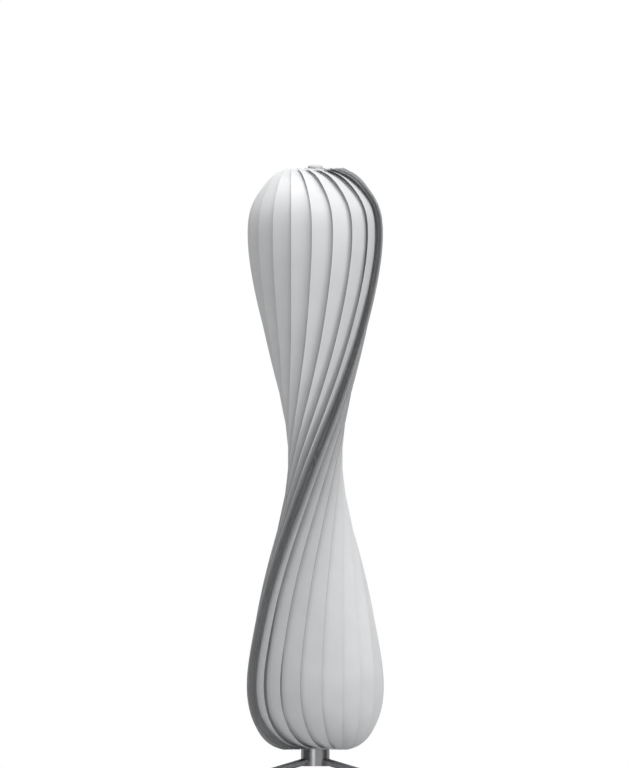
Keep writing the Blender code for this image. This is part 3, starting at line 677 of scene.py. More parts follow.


# Hub cover
# A stamped steel disc that snaps into the hub's underside over the nut, brushed, with a slot at its rim for a
# screwdriver and a shallow raised ring.

COVER_RING_R = 0.0120
COVER_RING_HEIGHT = 0.0003
COVER_RING_WIDTH = 0.0010
SLOT_SIZE = (0.0050, 0.0012, 0.0040)
STAMPED_EDGE = 0.00015

# Stainless sheet with a brushed grain that runs one way.
BRUSH_WIDTH_MM = 0.25
BRUSH_LENGTH_MM = 12
brushed_sheet, tree, shader = new_finish("brushed_stainless_sheet", "A9AAAC", 0.38, 1.0)
place = add_node(tree, "ShaderNodeTexCoord").outputs["Object"]
brush_scale = (1000 / BRUSH_LENGTH_MM, 1000 / BRUSH_WIDTH_MM, 1000 / BRUSH_WIDTH_MM)
stretched = add_node(tree, "ShaderNodeMapping", {"Vector": place, "Scale": brush_scale}).outputs[0]
brush = add_node(tree, "ShaderNodeTexNoise", {"Vector": stretched, "Scale": 1, "Detail": 4})
vary(tree, shader, brush.outputs["Fac"], gloss=(0.30, 0.46), gloss_from=(0.3, 0.7), relief=(0.2, 0.00003))


def cuboid(size, centre):
    """The shape of a box with its place in it."""
    shape = bmesh.new()
    bmesh.ops.create_cube(shape, size=1)
    bmesh.ops.scale(shape, vec=size, verts=shape.verts)
    bmesh.ops.translate(shape, vec=centre, verts=shape.verts)
    return shape


COVER_FACE = HUB_BOTTOM + COVER_RING_HEIGHT
cover_shape = spun(
    [
        (0, HUB_BOTTOM + COVER_THICKNESS),
        (COVER_R, HUB_BOTTOM + COVER_THICKNESS),
        (COVER_R, COVER_FACE),
        (COVER_RING_R + COVER_RING_WIDTH, COVER_FACE),
        (COVER_RING_R + COVER_RING_WIDTH, HUB_BOTTOM),
        (COVER_RING_R, HUB_BOTTOM),
        (COVER_RING_R, COVER_FACE),
        (0, COVER_FACE),
    ]
)
slot_tool = cuboid(SLOT_SIZE, (0, -COVER_R, HUB_BOTTOM))
cover = make_object("hub_cover_disc", carve(cover_shape, slot_tool), brushed_sheet)
soften(cover, STAMPED_EDGE, segments=2)
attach(cover, "stand")
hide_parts("hub_cover")


# Centre tube
# Drawn steel tube of 10 mm, nickel plated, with M10 x 1 threads cut at both ends and a hole beside
# each lampholder and in the hub for the lead wires.

TUBE_R = 0.0050
TUBE_BORE_R = 0.0040
TUBE_BOTTOM = 0.0480
TUBE_TOP = 1.3860
FINE_PITCH = 0.0010
FINE_DEPTH = 0.0004
LOW_THREAD_TOP = 0.1000
HIGH_THREAD_BOTTOM = 1.3640
LAMPS = {"lower": (0.1500, 1), "upper": (1.1200, -1)}
WIRE_EXIT_DROP = 0.0180
WIRE_EXIT_R = 0.0022
LEAD_ENTRY = 0.0805
LEAD_ENTRY_R = 0.0042


def thread_outline(radius, top, bottom):
    """Crests and roots of a 1 mm thread from the top down. A fine thread's turns are drawn as rings."""
    turns = round((top - bottom) / FINE_PITCH)
    points = []
    for turn in range(turns):
        crest = top - turn * FINE_PITCH
        points += [(radius, crest), (radius - FINE_DEPTH, crest - FINE_PITCH / 2)]
    return points + [(radius, top - turns * FINE_PITCH)]


# Nickel plating on a drawn tube: bright but soft, with faint draw lines along it.
DRAW_WIDTH_MM = 0.4
DRAW_LENGTH_MM = 30
nickel_tube, tree, shader = new_finish("nickel_plated_drawn_tube", "C3C2BE", 0.28, 1.0)
place = add_node(tree, "ShaderNodeTexCoord").outputs["Object"]
draw_scale = (1000 / DRAW_WIDTH_MM, 1000 / DRAW_WIDTH_MM, 1000 / DRAW_LENGTH_MM)
stretched = add_node(tree, "ShaderNodeMapping", {"Vector": place, "Scale": draw_scale}).outputs[0]
draw = add_node(tree, "ShaderNodeTexNoise", {"Vector": stretched, "Scale": 1, "Detail": 3})
vary(tree, shader, draw.outputs["Fac"], gloss=(0.22, 0.36), gloss_from=(0.3, 0.7), relief=(0.15, 0.00003))

tube_outline = thread_outline(TUBE_R, TUBE_TOP, HIGH_THREAD_BOTTOM)
tube_outline += thread_outline(TUBE_R, LOW_THREAD_TOP, TUBE_BOTTOM)
tube_outline += [(TUBE_BORE_R, TUBE_BOTTOM), (TUBE_BORE_R, TUBE_TOP)]
tube_shape = spun(tube_outline, BORE_SIDES, ring=True)
holes = [(height - WIRE_EXIT_DROP, side, WIRE_EXIT_R) for height, side in LAMPS.values()]
for hole_height, side, radius in holes + [(LEAD_ENTRY, -1, LEAD_ENTRY_R)]:
    drill = rod((0, 0, hole_height), (side * OVERSHOOT, 0, hole_height), radius, SMALL_SIDES)
    tube_shape = carve(tube_shape, drill)
tube = make_object("centre_tube_threaded", tube_shape, nickel_tube)
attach(tube, "stand")
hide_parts("centre_tube")


# Strip discs
# Two discs of 2 mm steel, punched, with twenty headed studs pressed in near the rim. Each strip's hole
# hooks over a stud, outside the shade. Zinc plated.

DISC_R = 0.041
DISC_THICKNESS = 0.0020
TOP_DISC_TOP = 1.3756
BOTTOM_DISC_BOTTOM = 0.0911
STUD_R = 0.0010
STUD_HEAD_R = 0.0019
STUD_HEAD_LENGTH = 0.0012
STUD_HEAD_CLEARANCE = 0.0013
STUD_STEPS = 20
STUD_DOME = ((0.6, 0.05), (0.9, 0.35), (1.0, 0.75))

# Zinc plating: a pale blue-grey metal, with a fine crystalline mottle.
SPANGLE_MM = 1.5
zinc_plate, tree, shader = new_finish("zinc_plated_steel", "B4B8BC", 0.36, 1.0)
place = add_node(tree, "ShaderNodeTexCoord").outputs["Object"]
spangle = add_node(tree, "ShaderNodeTexVoronoi", {"Vector": place, "Scale": 1000 / SPANGLE_MM})
vary(tree, shader, spangle.outputs["Distance"], tones=("B9BDC1", "A8ACB0"), gloss=(0.30, 0.44))

# STUD_DOME rounds the studs' heads: shares of the head's radius, and of its length down from its top.
for name, bottom, hole, out in (
    ("top_disc", TOP_DISC_TOP - DISC_THICKNESS, TOP_HOLE, 1),
    ("bottom_disc", BOTTOM_DISC_BOTTOM, BOTTOM_HOLE, -1),
):
    disc_outline = [
        (DISC_R, bottom + DISC_THICKNESS),
        (DISC_R, bottom),
        (TUBE_HOLE_R, bottom),
        (TUBE_HOLE_R, bottom + DISC_THICKNESS),
    ]
    disc_shape = spun(disc_outline, ring=True)
    root = abs(bottom + DISC_THICKNESS / 2 - hole.z)
    head_top = STUD_HEAD_CLEARANCE + STUD_HEAD_LENGTH
    stud = spun(
        [
            (0, head_top),
            *((out_share * STUD_HEAD_R, head_top - down * STUD_HEAD_LENGTH) for out_share, down in STUD_DOME),
            (STUD_HEAD_R, STUD_HEAD_CLEARANCE),
            (STUD_R, STUD_HEAD_CLEARANCE),
            (STUD_R, -root),
            (0, -root),
        ],
        steps=STUD_STEPS,
        matrix=Matrix.Translation(hole) @ Matrix.Rotation(0 if out > 0 else math.pi, 4, "X"),
    )
    studs = bmesh.new()
    one = make_object("stud", stud).data
    for i in range(STRIP_COUNT):
        before = len(studs.verts)
        studs.from_mesh(one)
        studs.verts.ensure_lookup_table()
        turn = Matrix.Rotation(STRIP_PITCH * i, 3, "Z")
        bmesh.ops.rotate(studs, cent=(0, 0, 0), matrix=turn, verts=studs.verts[before:])
    bpy.data.objects.remove(bpy.data.objects["stud"], do_unlink=True)
    disc = make_object(f"{name}_with_studs", carve(disc_shape, studs, "UNION"), zinc_plate)
    soften(disc, STAMPED_EDGE, segments=2)
    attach(disc, "stand")
    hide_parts(name)


# Nuts
# Thin M10 hexagon nuts of brass, turned from hexagon bar: one in the hub, one at each disc and one
# under each lampholder. Their corners are chamfered at both faces and their bores are countersunk.

NUT_R = 0.0090
NUT_HEIGHT = 0.0040
NUT_FACE_R = 0.0076
NUT_CHAMFER = 0.0007
NUT_BORE_R = 0.0052
NUT_SINK_R = 0.0058
NUT_EDGE = 0.00012
LAMP_OFFSET = 0.0440

# Brass bar: yellow, with fine turning marks and a thin brown tarnish.
TARNISH_MM = 6
turned_brass, tree, shader = new_finish("turned_brass", "C2A05C", 0.26, 1.0)
lines, place = lathe_lines(tree, LATHE_LINE_MM)
tarnish = add_node(tree, "ShaderNodeTexNoise", {"Vector": place, "Scale": 1000 / TARNISH_MM, "Detail": 4})
vary(tree, shader, tarnish.outputs["Fac"], tones=("CBAA66", "A98848"))
vary(tree, shader, lines, gloss=(0.18, 0.36))

HALF_NUT = NUT_HEIGHT / 2
hexagon = rod((0, 0, -HALF_NUT), (0, 0, HALF_NUT), NUT_R, 6)
corners = spun(
    [
        (0, HALF_NUT),
        (NUT_FACE_R, HALF_NUT),
        (NUT_R + NUT_CHAMFER, HALF_NUT - NUT_CHAMFER),
        (NUT_R + NUT_CHAMFER, NUT_CHAMFER - HALF_NUT),
        (NUT_FACE_R, -HALF_NUT),
        (0, -HALF_NUT),
    ]
)
bore = spun(
    [
        (0, HALF_NUT + FINE_PITCH),
        (NUT_SINK_R + FINE_PITCH, HALF_NUT + FINE_PITCH),
        (NUT_BORE_R, HALF_NUT - FINE_PITCH / 2),
        (NUT_BORE_R, FINE_PITCH / 2 - HALF_NUT),
        (NUT_SINK_R + FINE_PITCH, -HALF_NUT - FINE_PITCH),
        (0, -HALF_NUT - FINE_PITCH),
    ],
    BORE_SIDES,
)
nut_shape = carve(carve(hexagon, corners, "INTERSECT"), bore)
nut_places = {
    "hub_nut": (0, NUT_RECESS_TOP - GAP - NUT_HEIGHT),
    "bottom_disc_nut": (0, BOTTOM_DISC_BOTTOM + DISC_THICKNESS + GAP),
    "top_disc_nut": (0, TOP_DISC_TOP - DISC_THICKNESS - GAP - NUT_HEIGHT),
}
for lamp, (height, side) in LAMPS.items():
    nut_places[f"{lamp}_holder_nut"] = (side * LAMP_OFFSET, height - GAP - NUT_HEIGHT)
for name, (x, bottom) in nut_places.items():
    shape = nut_shape.copy()
    bmesh.ops.translate(shape, vec=(x, 0, bottom + HALF_NUT), verts=shape.verts)
    nut = make_object(f"{name}_hexagon", shape, turned_brass)
    soften(nut, NUT_EDGE, segments=2)
    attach(nut, "stand")
    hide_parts(name)
nut_shape.free()


# Finial
# The turned steel cap that ends the lamp, powder coated. It screws onto the centre tube's top over the
# disc, on a brass insert pressed into it.

FINIAL_R = 0.0170
FINIAL_TOP = 1.3912
FINIAL_EDGE_WIDTH = 0.0110
FINIAL_EDGE_DROP = 0.0042
FINIAL_BORE_TOP = 1.3868
FINIAL_BOTTOM = TOP_DISC_TOP + GAP
FINIAL_CROWN = 0.0002
FINIAL_CHAMFER = 0.0004
INSERT_R = 0.0080
INSERT_TOP = FINIAL_BOTTOM + 0.0070
INSERT_TURNS = 6
INSERT_STEPS = 64
ROUND_POINTS = 12

# Light grey powder coat, baked on the turned cap: soft, with the fine pimples of the powder.
POWDER_MM = 0.6
powder_coat, _ = grained_finish(
    "light_grey_powder_coat", "D2D3D4", 0.45, grain_mm=POWDER_MM, gloss=(0.38, 0.52), relief=(0.25, 0.00005)
)

finial_outline = [(0, FINIAL_TOP)]
for i in range(ROUND_POINTS):
    angle = math.pi / 2 * i / (ROUND_POINTS - 1)
    radius = FINIAL_R - FINIAL_EDGE_WIDTH * (1 - math.sin(angle))
    drop = FINIAL_CROWN + FINIAL_EDGE_DROP * (1 - math.cos(angle))
    finial_outline.append((radius, FINIAL_TOP - drop))
finial_outline += [
    (FINIAL_R, FINIAL_BOTTOM + FINIAL_CHAMFER),
    (FINIAL_R - FINIAL_CHAMFER, FINIAL_BOTTOM),
    (INSERT_R + GAP, FINIAL_BOTTOM),
    (INSERT_R + GAP, INSERT_TOP + GAP),
    (TUBE_HOLE_R, INSERT_TOP + GAP),
    (TUBE_HOLE_R, FINIAL_BORE_TOP),
    (0, FINIAL_BORE_TOP),
]
finial = make_object("finial_cap_turned", spun(finial_outline), powder_coat)
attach(finial, "finial_cap")
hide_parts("finial")

insert_outline = [(INSERT_R, INSERT_TOP), (INSERT_R, FINIAL_BOTTOM)]
insert_outline += [(TUBE_HOLE_R + FINE_DEPTH, FINIAL_BOTTOM)]
for turn in range(INSERT_TURNS):
    crest = FINIAL_BOTTOM + FINE_DEPTH + FINE_PITCH * turn
    insert_outline += [(TUBE_HOLE_R, crest), (TUBE_HOLE_R + FINE_DEPTH, crest + FINE_PITCH / 2)]
insert_outline += [(TUBE_HOLE_R, INSERT_TOP)]
insert_shape = spun(insert_outline, INSERT_STEPS, ring=True)
insert = make_object("finial_insert_threaded", insert_shape, turned_brass)
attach(insert, "finial_thread")
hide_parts("finial_insert")


# Mains inlet
# A push-in gland of black nylon at the hub's back, with snap ribs inside and soft lips in its bore.

GLAND_BORE_R = 0.0033
GLAND_FLANGE_R = 0.0058
GLAND_FLANGE = 0.0030
GLAND_INNER_Y = 0.0225
GLAND_LIP = 0.0004
GLAND_LIP_PLACES = (0.25, 0.5, 0.75)
GLAND_STEPS = 64
# The flange's rounded rim, as steps in from its side and back from its face.
GLAND_ROUND = ((0.0012, 0), (0.0004, 0.0005), (0, 0.0014))
# The snap rib: how far inside the hub's wall it starts, how proud its tip stands, and how far the nose
# behind it tapers.
SNAP_START = 0.0004
SNAP_RISE = 0.0002
SNAP_TAPER = 0.0008

# Black nylon with the faint orange-peel of a polished mould.
PEEL_MM = 0.8
black_nylon, _ = grained_finish(
    "moulded_black_nylon", "202022", 0.48, grain_mm=PEEL_MM, gloss=(0.40, 0.56), relief=(0.3, 0.00005)
)

flange_start = HUB_R + GAP
gland_end = flange_start + GLAND_FLANGE
gland_outline = [(GLAND_FLANGE_R - inward, gland_end - back) for inward, back in GLAND_ROUND]
gland_outline += [
    (GLAND_FLANGE_R, flange_start),
    (GLAND_R, flange_start),
    (GLAND_R, CHAMBER_R - SNAP_START),
    (GLAND_R + SNAP_RISE, CHAMBER_R - SNAP_START - SNAP_RISE),
    (GLAND_R - SNAP_TAPER, GLAND_INNER_Y),
    (GLAND_BORE_R, GLAND_INNER_Y),
]
for lip in GLAND_LIP_PLACES:
    middle = GLAND_INNER_Y + lip * (gland_end - GLAND_INNER_Y)
    gland_outline += [
        (GLAND_BORE_R, middle - GLAND_LIP),
        (GLAND_BORE_R - GLAND_LIP, middle),
        (GLAND_BORE_R, middle + GLAND_LIP),
    ]
gland_outline += [(GLAND_BORE_R, gland_end)]
outward = Matrix.Translation((0, 0, GLAND_HEIGHT)) @ Matrix.Rotation(-math.pi / 2, 4, "X")
gland_shape = spun(gland_outline, GLAND_STEPS, ring=True, matrix=outward)
gland = make_object("mains_inlet_gland", gland_shape, black_nylon)
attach(gland, "stand")
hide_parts("cable_gland")


# Terminal block
# A two-way connector of pale nylon on the chamber's floor, where the mains cord and both leads meet:
# two brass clamps with slotted screws in wells, and wire mouths at both long sides.

BLOCK_SIZE = Vector((0.0080, 0.0180, 0.0120))
BLOCK_CENTRE = Vector((-0.0150, 0, CHAMBER_FLOOR + GAP + BLOCK_SIZE.z / 2))
POLE_SPACING = 0.0085
WELL_R = 0.0024
WELL_DEPTH = 0.0035
CLAMP_SCREW_R = 0.0020
MOUTH_R = 0.0018
MOUTH_HEIGHT = 0.0040
MOUTH_DEPTH = 0.0025
CLAMP_SCREW_SINK = 0.0010
CLAMP_SCREW_GAP = 0.0001
CLAMP_SLOT_SIZE = (0.0006, 2.4 * CLAMP_SCREW_R, 0.0012)
BLOCK_EDGE = 0.00025

# Natural nylon: milky off-white, slightly glossy.
pale_nylon, _ = grained_finish(
    "natural_nylon",
    "E6E3DA",
    0.45,
    grain_mm=PEEL_MM,
    tones=("E9E6DE", "DFDBD0"),
    relief=(0.2, 0.00005),
)


def add_shape(shape, other, material_index):
    """Puts the other shape in this one as a body of its own."""
    for face in other.faces:
        face.material_index = material_index
    mesh = bpy.data.meshes.new("added")
    other.to_mesh(mesh)
    other.free()
    shape.from_mesh(mesh)
    bpy.data.meshes.remove(mesh)


block_shape = cuboid(BLOCK_SIZE, BLOCK_CENTRE)
x = BLOCK_CENTRE.x
block_top = BLOCK_CENTRE.z + BLOCK_SIZE.z / 2
well_floor = block_top - WELL_DEPTH
mouth_z = BLOCK_CENTRE.z - BLOCK_SIZE.z / 2 + MOUTH_HEIGHT
screw_top = block_top - CLAMP_SCREW_SINK
POLES = (-POLE_SPACING / 2, POLE_SPACING / 2)
for y in POLES:
    block_shape = carve(block_shape, rod((x, y, well_floor), (x, y, block_top + GAP), WELL_R))
    for side in (-1, 1):
        face_x = x + side * BLOCK_SIZE.x / 2
        mouth = rod((face_x - side * MOUTH_DEPTH, y, mouth_z), (face_x + side * GAP, y, mouth_z), MOUTH_R)
        block_shape = carve(block_shape, mouth)
for y in POLES:
    screw = rod((x, y, well_floor + CLAMP_SCREW_GAP), (x, y, screw_top), CLAMP_SCREW_R)
    add_shape(block_shape, carve(screw, cuboid(CLAMP_SLOT_SIZE, (x, y, screw_top))), 1)
block = make_object("two_way_terminal_block", block_shape, pale_nylon, turned_brass)
soften(block, BLOCK_EDGE, segments=2)
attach(block, "stand")
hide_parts("terminal_block")


# Lamp brackets
# A collar on the tube with an arm and a round pad for the lampholder, bent and welded from 4 mm steel
# and zinc plated. A set screw with a hexagon socket locks the collar at the tube's back.

BRACKET_THICKNESS = 0.0040
COLLAR_R = 0.0095
COLLAR_HEIGHT = 0.0110
ARM_WIDTH = 0.0120
PAD_R = 0.0120
STUB_R = 0.0050
BRACKET_SCREW_R = 0.0015
BRACKET_SCREW_DROP = 0.0035
SOCKET_R = 0.0008
SOCKET_DEPTH = 0.0015
SET_SCREW_PROUD = 0.0010
SLIDING_FIT = 0.0001
ARM_INSET = 0.0004
BRACKET_EDGE = 0.0004

# Hardened steel, plain and bright: dull where its ends are ground.
GRIND_MM = 0.7
bright_steel, _ = grained_finish(
    "bright_hardened_steel", "BDBEC0", 0.30, 1.0, grain_mm=GRIND_MM, gloss=(0.22, 0.40)
)


def plug(radius, low, high, x=0):
    """The shape of an upright round solid between two heights."""
    outline = [(0, high), (radius, high), (radius, low), (0, low)]
    return spun(outline, BAR_SIDES, matrix=Matrix.Translation((x, 0, 0)))


for lamp, (height, side) in LAMPS.items():
    pad_x = side * LAMP_OFFSET
    collar_top = height + COLLAR_HEIGHT
    bracket_shape = plug(COLLAR_R, height, collar_top)
    bracket_shape = carve(bracket_shape, plug(PAD_R, height, height + BRACKET_THICKNESS, pad_x), "UNION")
    arm_size = (LAMP_OFFSET, ARM_WIDTH, BRACKET_THICKNESS - ARM_INSET)
    arm = cuboid(arm_size, (pad_x / 2, 0, height + BRACKET_THICKNESS / 2))
    bracket_shape = carve(bracket_shape, arm, "UNION")
    for x, radius in ((0, TUBE_R + SLIDING_FIT), (pad_x, STUB_R + GAP)):
        drill = rod((x, 0, height - OVERSHOOT), (x, 0, collar_top + OVERSHOOT), radius, BORE_SIDES)
        bracket_shape = carve(bracket_shape, drill)
    screw_z = collar_top - BRACKET_SCREW_DROP
    hole_r = BRACKET_SCREW_R + SLIDING_FIT
    hole = rod((0, 0, screw_z), (0, COLLAR_R + OVERSHOOT, screw_z), hole_r, SMALL_SIDES)
    bracket = make_object(f"{lamp}_lamp_bracket", carve(bracket_shape, hole), zinc_plate)
    soften(bracket, BRACKET_EDGE)
    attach(bracket, "stand")
    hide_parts(f"{lamp}_bracket")

    screw_end = COLLAR_R + SET_SCREW_PROUD
    screw = rod((0, TUBE_R + GAP, screw_z), (0, screw_end, screw_z), BRACKET_SCREW_R)
    socket = rod((0, screw_end - SOCKET_DEPTH, screw_z), (0, screw_end + GAP, screw_z), SOCKET_R, 6)
    set_screw = make_object(f"{lamp}_bracket_set_screw", carve(screw, socket), bright_steel)
    soften(set_screw, STAMPED_EDGE, segments=2)
    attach(set_screw, "stand")
    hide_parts(f"{lamp}_bracket_screw")


# Lampholders
# E27 holders moulded in white thermoplastic, in two halves that meet at a groove, with grip ribs on
# the lower half and a threaded stub that the nut pulls onto the bracket. The screw shell inside is
# rolled from thin brass sheet.

HOLDER_R = 0.0195
HOLDER_HEIGHT = 0.0450
HOLDER_WALL = 0.0030
HOLDER_FLOOR = 0.0080
HOLDER_JOIN = 0.0185
STUB_BORE_R = 0.0030
STUB_LENGTH = 0.0095
RIB_COUNT = 24
RIB_DEPTH = 0.0005
RIB_BOTTOM, RIB_TOP = 0.0095, 0.0170
SHELL_LIFT = 0.0100
SHELL_HEIGHT = 0.0240
SHELL_CREST_R = 0.0136
SHELL_ROOT_R = 0.0145
BULB_PITCH = 0.00362
SHEET = 0.0003
JOIN_HALF_WIDTH = 0.0003
JOIN_DEPTH = 0.0004
RIB_RUNOUT = 0.0002
RIB_MARGIN = 0.0001
HOLDER_TAPER = 0.0060
STUB_THREAD_START = 0.0005
SHELL_RIM = 0.0020
THREAD_ROWS = 10
THREAD_STEPS = 60
RIM_TOLERANCE = 0.000001
SEAM_DISTANCE = 0.00002

# White thermoplastic, moulded: an even soft sheen with very slight orange peel.
white_plastic, _ = grained_finish(
    "moulded_white_thermoplastic",
    "EFEEEA",
    0.40,
    grain_mm=PEEL_MM,
    gloss=(0.34, 0.46),
    relief=(0.2, 0.00005),
)


def rolled_thread(crest, root, low, high):
    """An open wall with a right-handed rolled thread of the bulb's pitch, cut level at both ends."""
    shape = bmesh.new()
    start = low - BULB_PITCH
    points = []
    for i in range(THREAD_ROWS + 1):
        wave = (1 + math.cos(math.tau * i / THREAD_ROWS)) / 2
        radius = root + (crest - root) * wave
        points.append(shape.verts.new((radius, 0, start + BULB_PITCH * i / THREAD_ROWS)))
    edges = [shape.edges.new(pair) for pair in zip(points, points[1:])]
    turns = math.ceil((high - low) / BULB_PITCH) + 2
    bmesh.ops.spin(
        shape,
        geom=points + edges,
        cent=(0, 0, 0),
        axis=(0, 0, 1),
        dvec=(0, 0, BULB_PITCH / THREAD_STEPS),
        angle=math.tau * turns,
        steps=THREAD_STEPS * turns,
        use_merge=False,
    )
    bmesh.ops.remove_doubles(shape, verts=shape.verts, dist=SEAM_DISTANCE)
    for height, up in ((low, -1), (high, 1)):
        geometry = shape.verts[:] + shape.edges[:] + shape.faces[:]
        bmesh.ops.bisect_plane(
            shape, geom=geometry, plane_co=(0, 0, height), plane_no=(0, 0, up), clear_outer=True
        )
    return shape


def extend(shape, edges, radius, height):
    """Draws an open rim on to a round one at that radius and height, and returns the new rim."""
    made = bmesh.ops.extrude_edge_only(shape, edges=edges)["geom"]
    moved = {part for part in made if isinstance(part, bmesh.types.BMVert)}
    for vert in moved:
        length = math.hypot(vert.co.x, vert.co.y)
        vert.co = Vector((vert.co.x / length * radius, vert.co.y / length * radius, height))
    return [part for part in made if isinstance(part, bmesh.types.BMEdge) and moved.issuperset(part.verts)]


def rim(shape, height):
    """The open edges that lie at that height."""
    return [
        edge
        for edge in shape.edges
        if edge.is_boundary and all(abs(vert.co.z - height) < RIM_TOLERANCE for vert in edge.verts)
    ]


for lamp, (height, side) in LAMPS.items():
    base = height + BRACKET_THICKNESS + GAP
    place_matrix = Matrix.Translation((side * LAMP_OFFSET, 0, base))
    inner = HOLDER_R - HOLDER_WALL
    holder_outline = [
        (HOLDER_R, HOLDER_HEIGHT),
        (HOLDER_R, HOLDER_JOIN + JOIN_HALF_WIDTH),
        (HOLDER_R - JOIN_DEPTH, HOLDER_JOIN),
        (HOLDER_R, HOLDER_JOIN - JOIN_HALF_WIDTH),
        (HOLDER_R, RIB_TOP + RIB_RUNOUT),
        (HOLDER_R, RIB_TOP),
        (HOLDER_R, RIB_BOTTOM),
        (HOLDER_R, RIB_BOTTOM - RIB_RUNOUT),
        (HOLDER_R, HOLDER_FLOOR),
        (HOLDER_R - HOLDER_TAPER, 0),
        (STUB_R, 0),
    ]
    holder_outline += thread_outline(STUB_R, -STUB_THREAD_START, -STUB_LENGTH)[:-1]
    holder_outline += [
        (STUB_R - FINE_DEPTH, -STUB_LENGTH),
        (STUB_BORE_R, -STUB_LENGTH),
        (STUB_BORE_R, HOLDER_FLOOR),
        (inner, HOLDER_FLOOR),
        (inner, HOLDER_HEIGHT),
    ]
    holder_shape = spun(holder_outline, steps=6 * RIB_COUNT, ring=True)
    for vert in holder_shape.verts:
        on_side = math.hypot(vert.co.x, vert.co.y) > HOLDER_R - RIB_MARGIN
        if on_side and RIB_BOTTOM - RIB_MARGIN < vert.co.z < RIB_TOP + RIB_MARGIN:
            wave = (1 - math.cos(RIB_COUNT * math.atan2(vert.co.y, vert.co.x))) / 2
            vert.co.xy *= 1 - RIB_DEPTH * wave / HOLDER_R
    bmesh.ops.transform(holder_shape, matrix=place_matrix, verts=holder_shape.verts)
    holder = make_object(f"{lamp}_lampholder", holder_shape, white_plastic)
    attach(holder, "stand")
    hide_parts(f"{lamp}_holder_body")

    shell_top = SHELL_LIFT + SHELL_HEIGHT
    thread_low, thread_high = SHELL_LIFT + SHELL_RIM, shell_top - SHELL_RIM
    shell_shape = rolled_thread(SHELL_ROOT_R, SHELL_CREST_R, thread_low, thread_high)
    extend(shell_shape, rim(shell_shape, thread_low), SHELL_ROOT_R, SHELL_LIFT)
    extend(shell_shape, rim(shell_shape, thread_high), SHELL_ROOT_R, shell_top)
    bmesh.ops.recalc_face_normals(shell_shape, faces=shell_shape.faces)
    bmesh.ops.transform(shell_shape, matrix=place_matrix, verts=shell_shape.verts)
    shell = make_object(f"{lamp}_screw_shell", shell_shape, turned_brass)
    sheet = shell.modifiers.new("sheet", "SOLIDIFY")
    sheet.thickness = SHEET
    sheet.offset = 1
    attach(shell, "stand")
    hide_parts(f"{lamp}_holder_shell")


# Bulbs
# LED globe bulbs: opal blown glass, a ceramic post that carries the LED strips, an E27 cap rolled from
# nickel-plated sheet, and a brass contact at its end.

BULB_SEAT = 0.0150
CAP_R = 0.0131
CAP_ROOT_R = 0.0123
CAP_HEIGHT = 0.0240
CAP_THREAD = (0.0045, 0.0155)
CAP_SHOULDER_R = 0.0082
CAP_HOLE_R = 0.0046
CONTACT_R = 0.0042
CONTACT_BOTTOM = -0.0020
CONTACT_TOP = 0.0025
GLOBE_R = 0.0300
GLOBE_NECK_R = 0.0120
GLOBE_WALL = 0.0010
GLOBE_FOOT = 0.0165
GLOBE_SHOULDER = 0.0280
GLOBE_CENTRE = 0.0700
GLOBE_RINGS = 30
GLOBE_END = math.radians(118)
POST_R = 0.0060
POST_TOP = 0.0780
POST_FOOT = 0.0080
POST_BASE_R = 0.0102
LED_COUNT = 6
LED_SIZE = (0.0008, 0.0018, 0.0320)
LED_HEIGHT = 0.0580
# How far the neck's curve keeps to the sphere's slope and to the neck's, and how finely it is stepped.
SPHERE_PULL = 0.012
NECK_PULL = 0.008
NECK_POINTS = 8
GLOBE_STEPS = 72
CAP_SKIRT = 0.0010
# The cap's shoulder, from its thread in to the contact's hole, as radius and height.
CAP_SHOULDER = ((CAP_ROOT_R, 0.0039), (CAP_ROOT_R - 0.0008, 0.0024), (CAP_SHOULDER_R, 0.0002), (CAP_HOLE_R, 0))
POST_CHAMFER = 0.0010
POST_FLARE = 0.0040
POST_EDGE = 0.0002
# The contact's rounded end, as steps in from its side and up from its tip.
CONTACT_ROUND = ((0, 0.0014), (0.0004, 0.0008), (0.0012, 0.0003), (0.0024, 0))

# Opal glass: white through its whole wall, with a clean glossy skin and slight blowing waves.
BLOWING_WAVE_MM = 9
opal_glass, shader = grained_finish(
    "blown_opal_glass",
    "F6F5F1",
    0.12,
    grain_mm=BLOWING_WAVE_MM,
    detail=1,
    gloss=(0.09, 0.16),
    relief=(0.15, 0.0002),
)
shader.inputs["Subsurface Weight"].default_value = 0.5
shader.inputs["Subsurface Scale"].default_value = 0.002
shader.inputs["Subsurface Radius"].default_value = (1, 1, 0.9)

# Nickel plate on rolled sheet: warm grey and bright, scuffed a little by the holder's thread.
SCUFF_MM = 2.5
nickel_cap, _ = grained_finish(
    "nickel_plated_rolled_sheet",
    "BDBBB6",
    0.24,
    1.0,
    grain_mm=SCUFF_MM,
    detail=5,
    gloss=(0.18, 0.40),
    gloss_from=(0.35, 0.7),
)

# Alumina ceramic: matt white with a very fine sintered grain.
SINTER_MM = 0.4
ceramic, _ = grained_finish(
    "sintered_white_ceramic", "F1F0EB", 0.6, grain_mm=SINTER_MM, gloss=(0.5, 0.7), relief=(0.3, 0.00004)
)

# Silicone over LED chips: yellow from the phosphor in it, soft and slightly uneven.
PHOSPHOR_MM = 1.2
phosphor, _ = grained_finish(
    "phosphor_silicone", "E3C453", 0.45, grain_mm=PHOSPHOR_MM, detail=4, tones=("EACB5A", "D6B446")
)


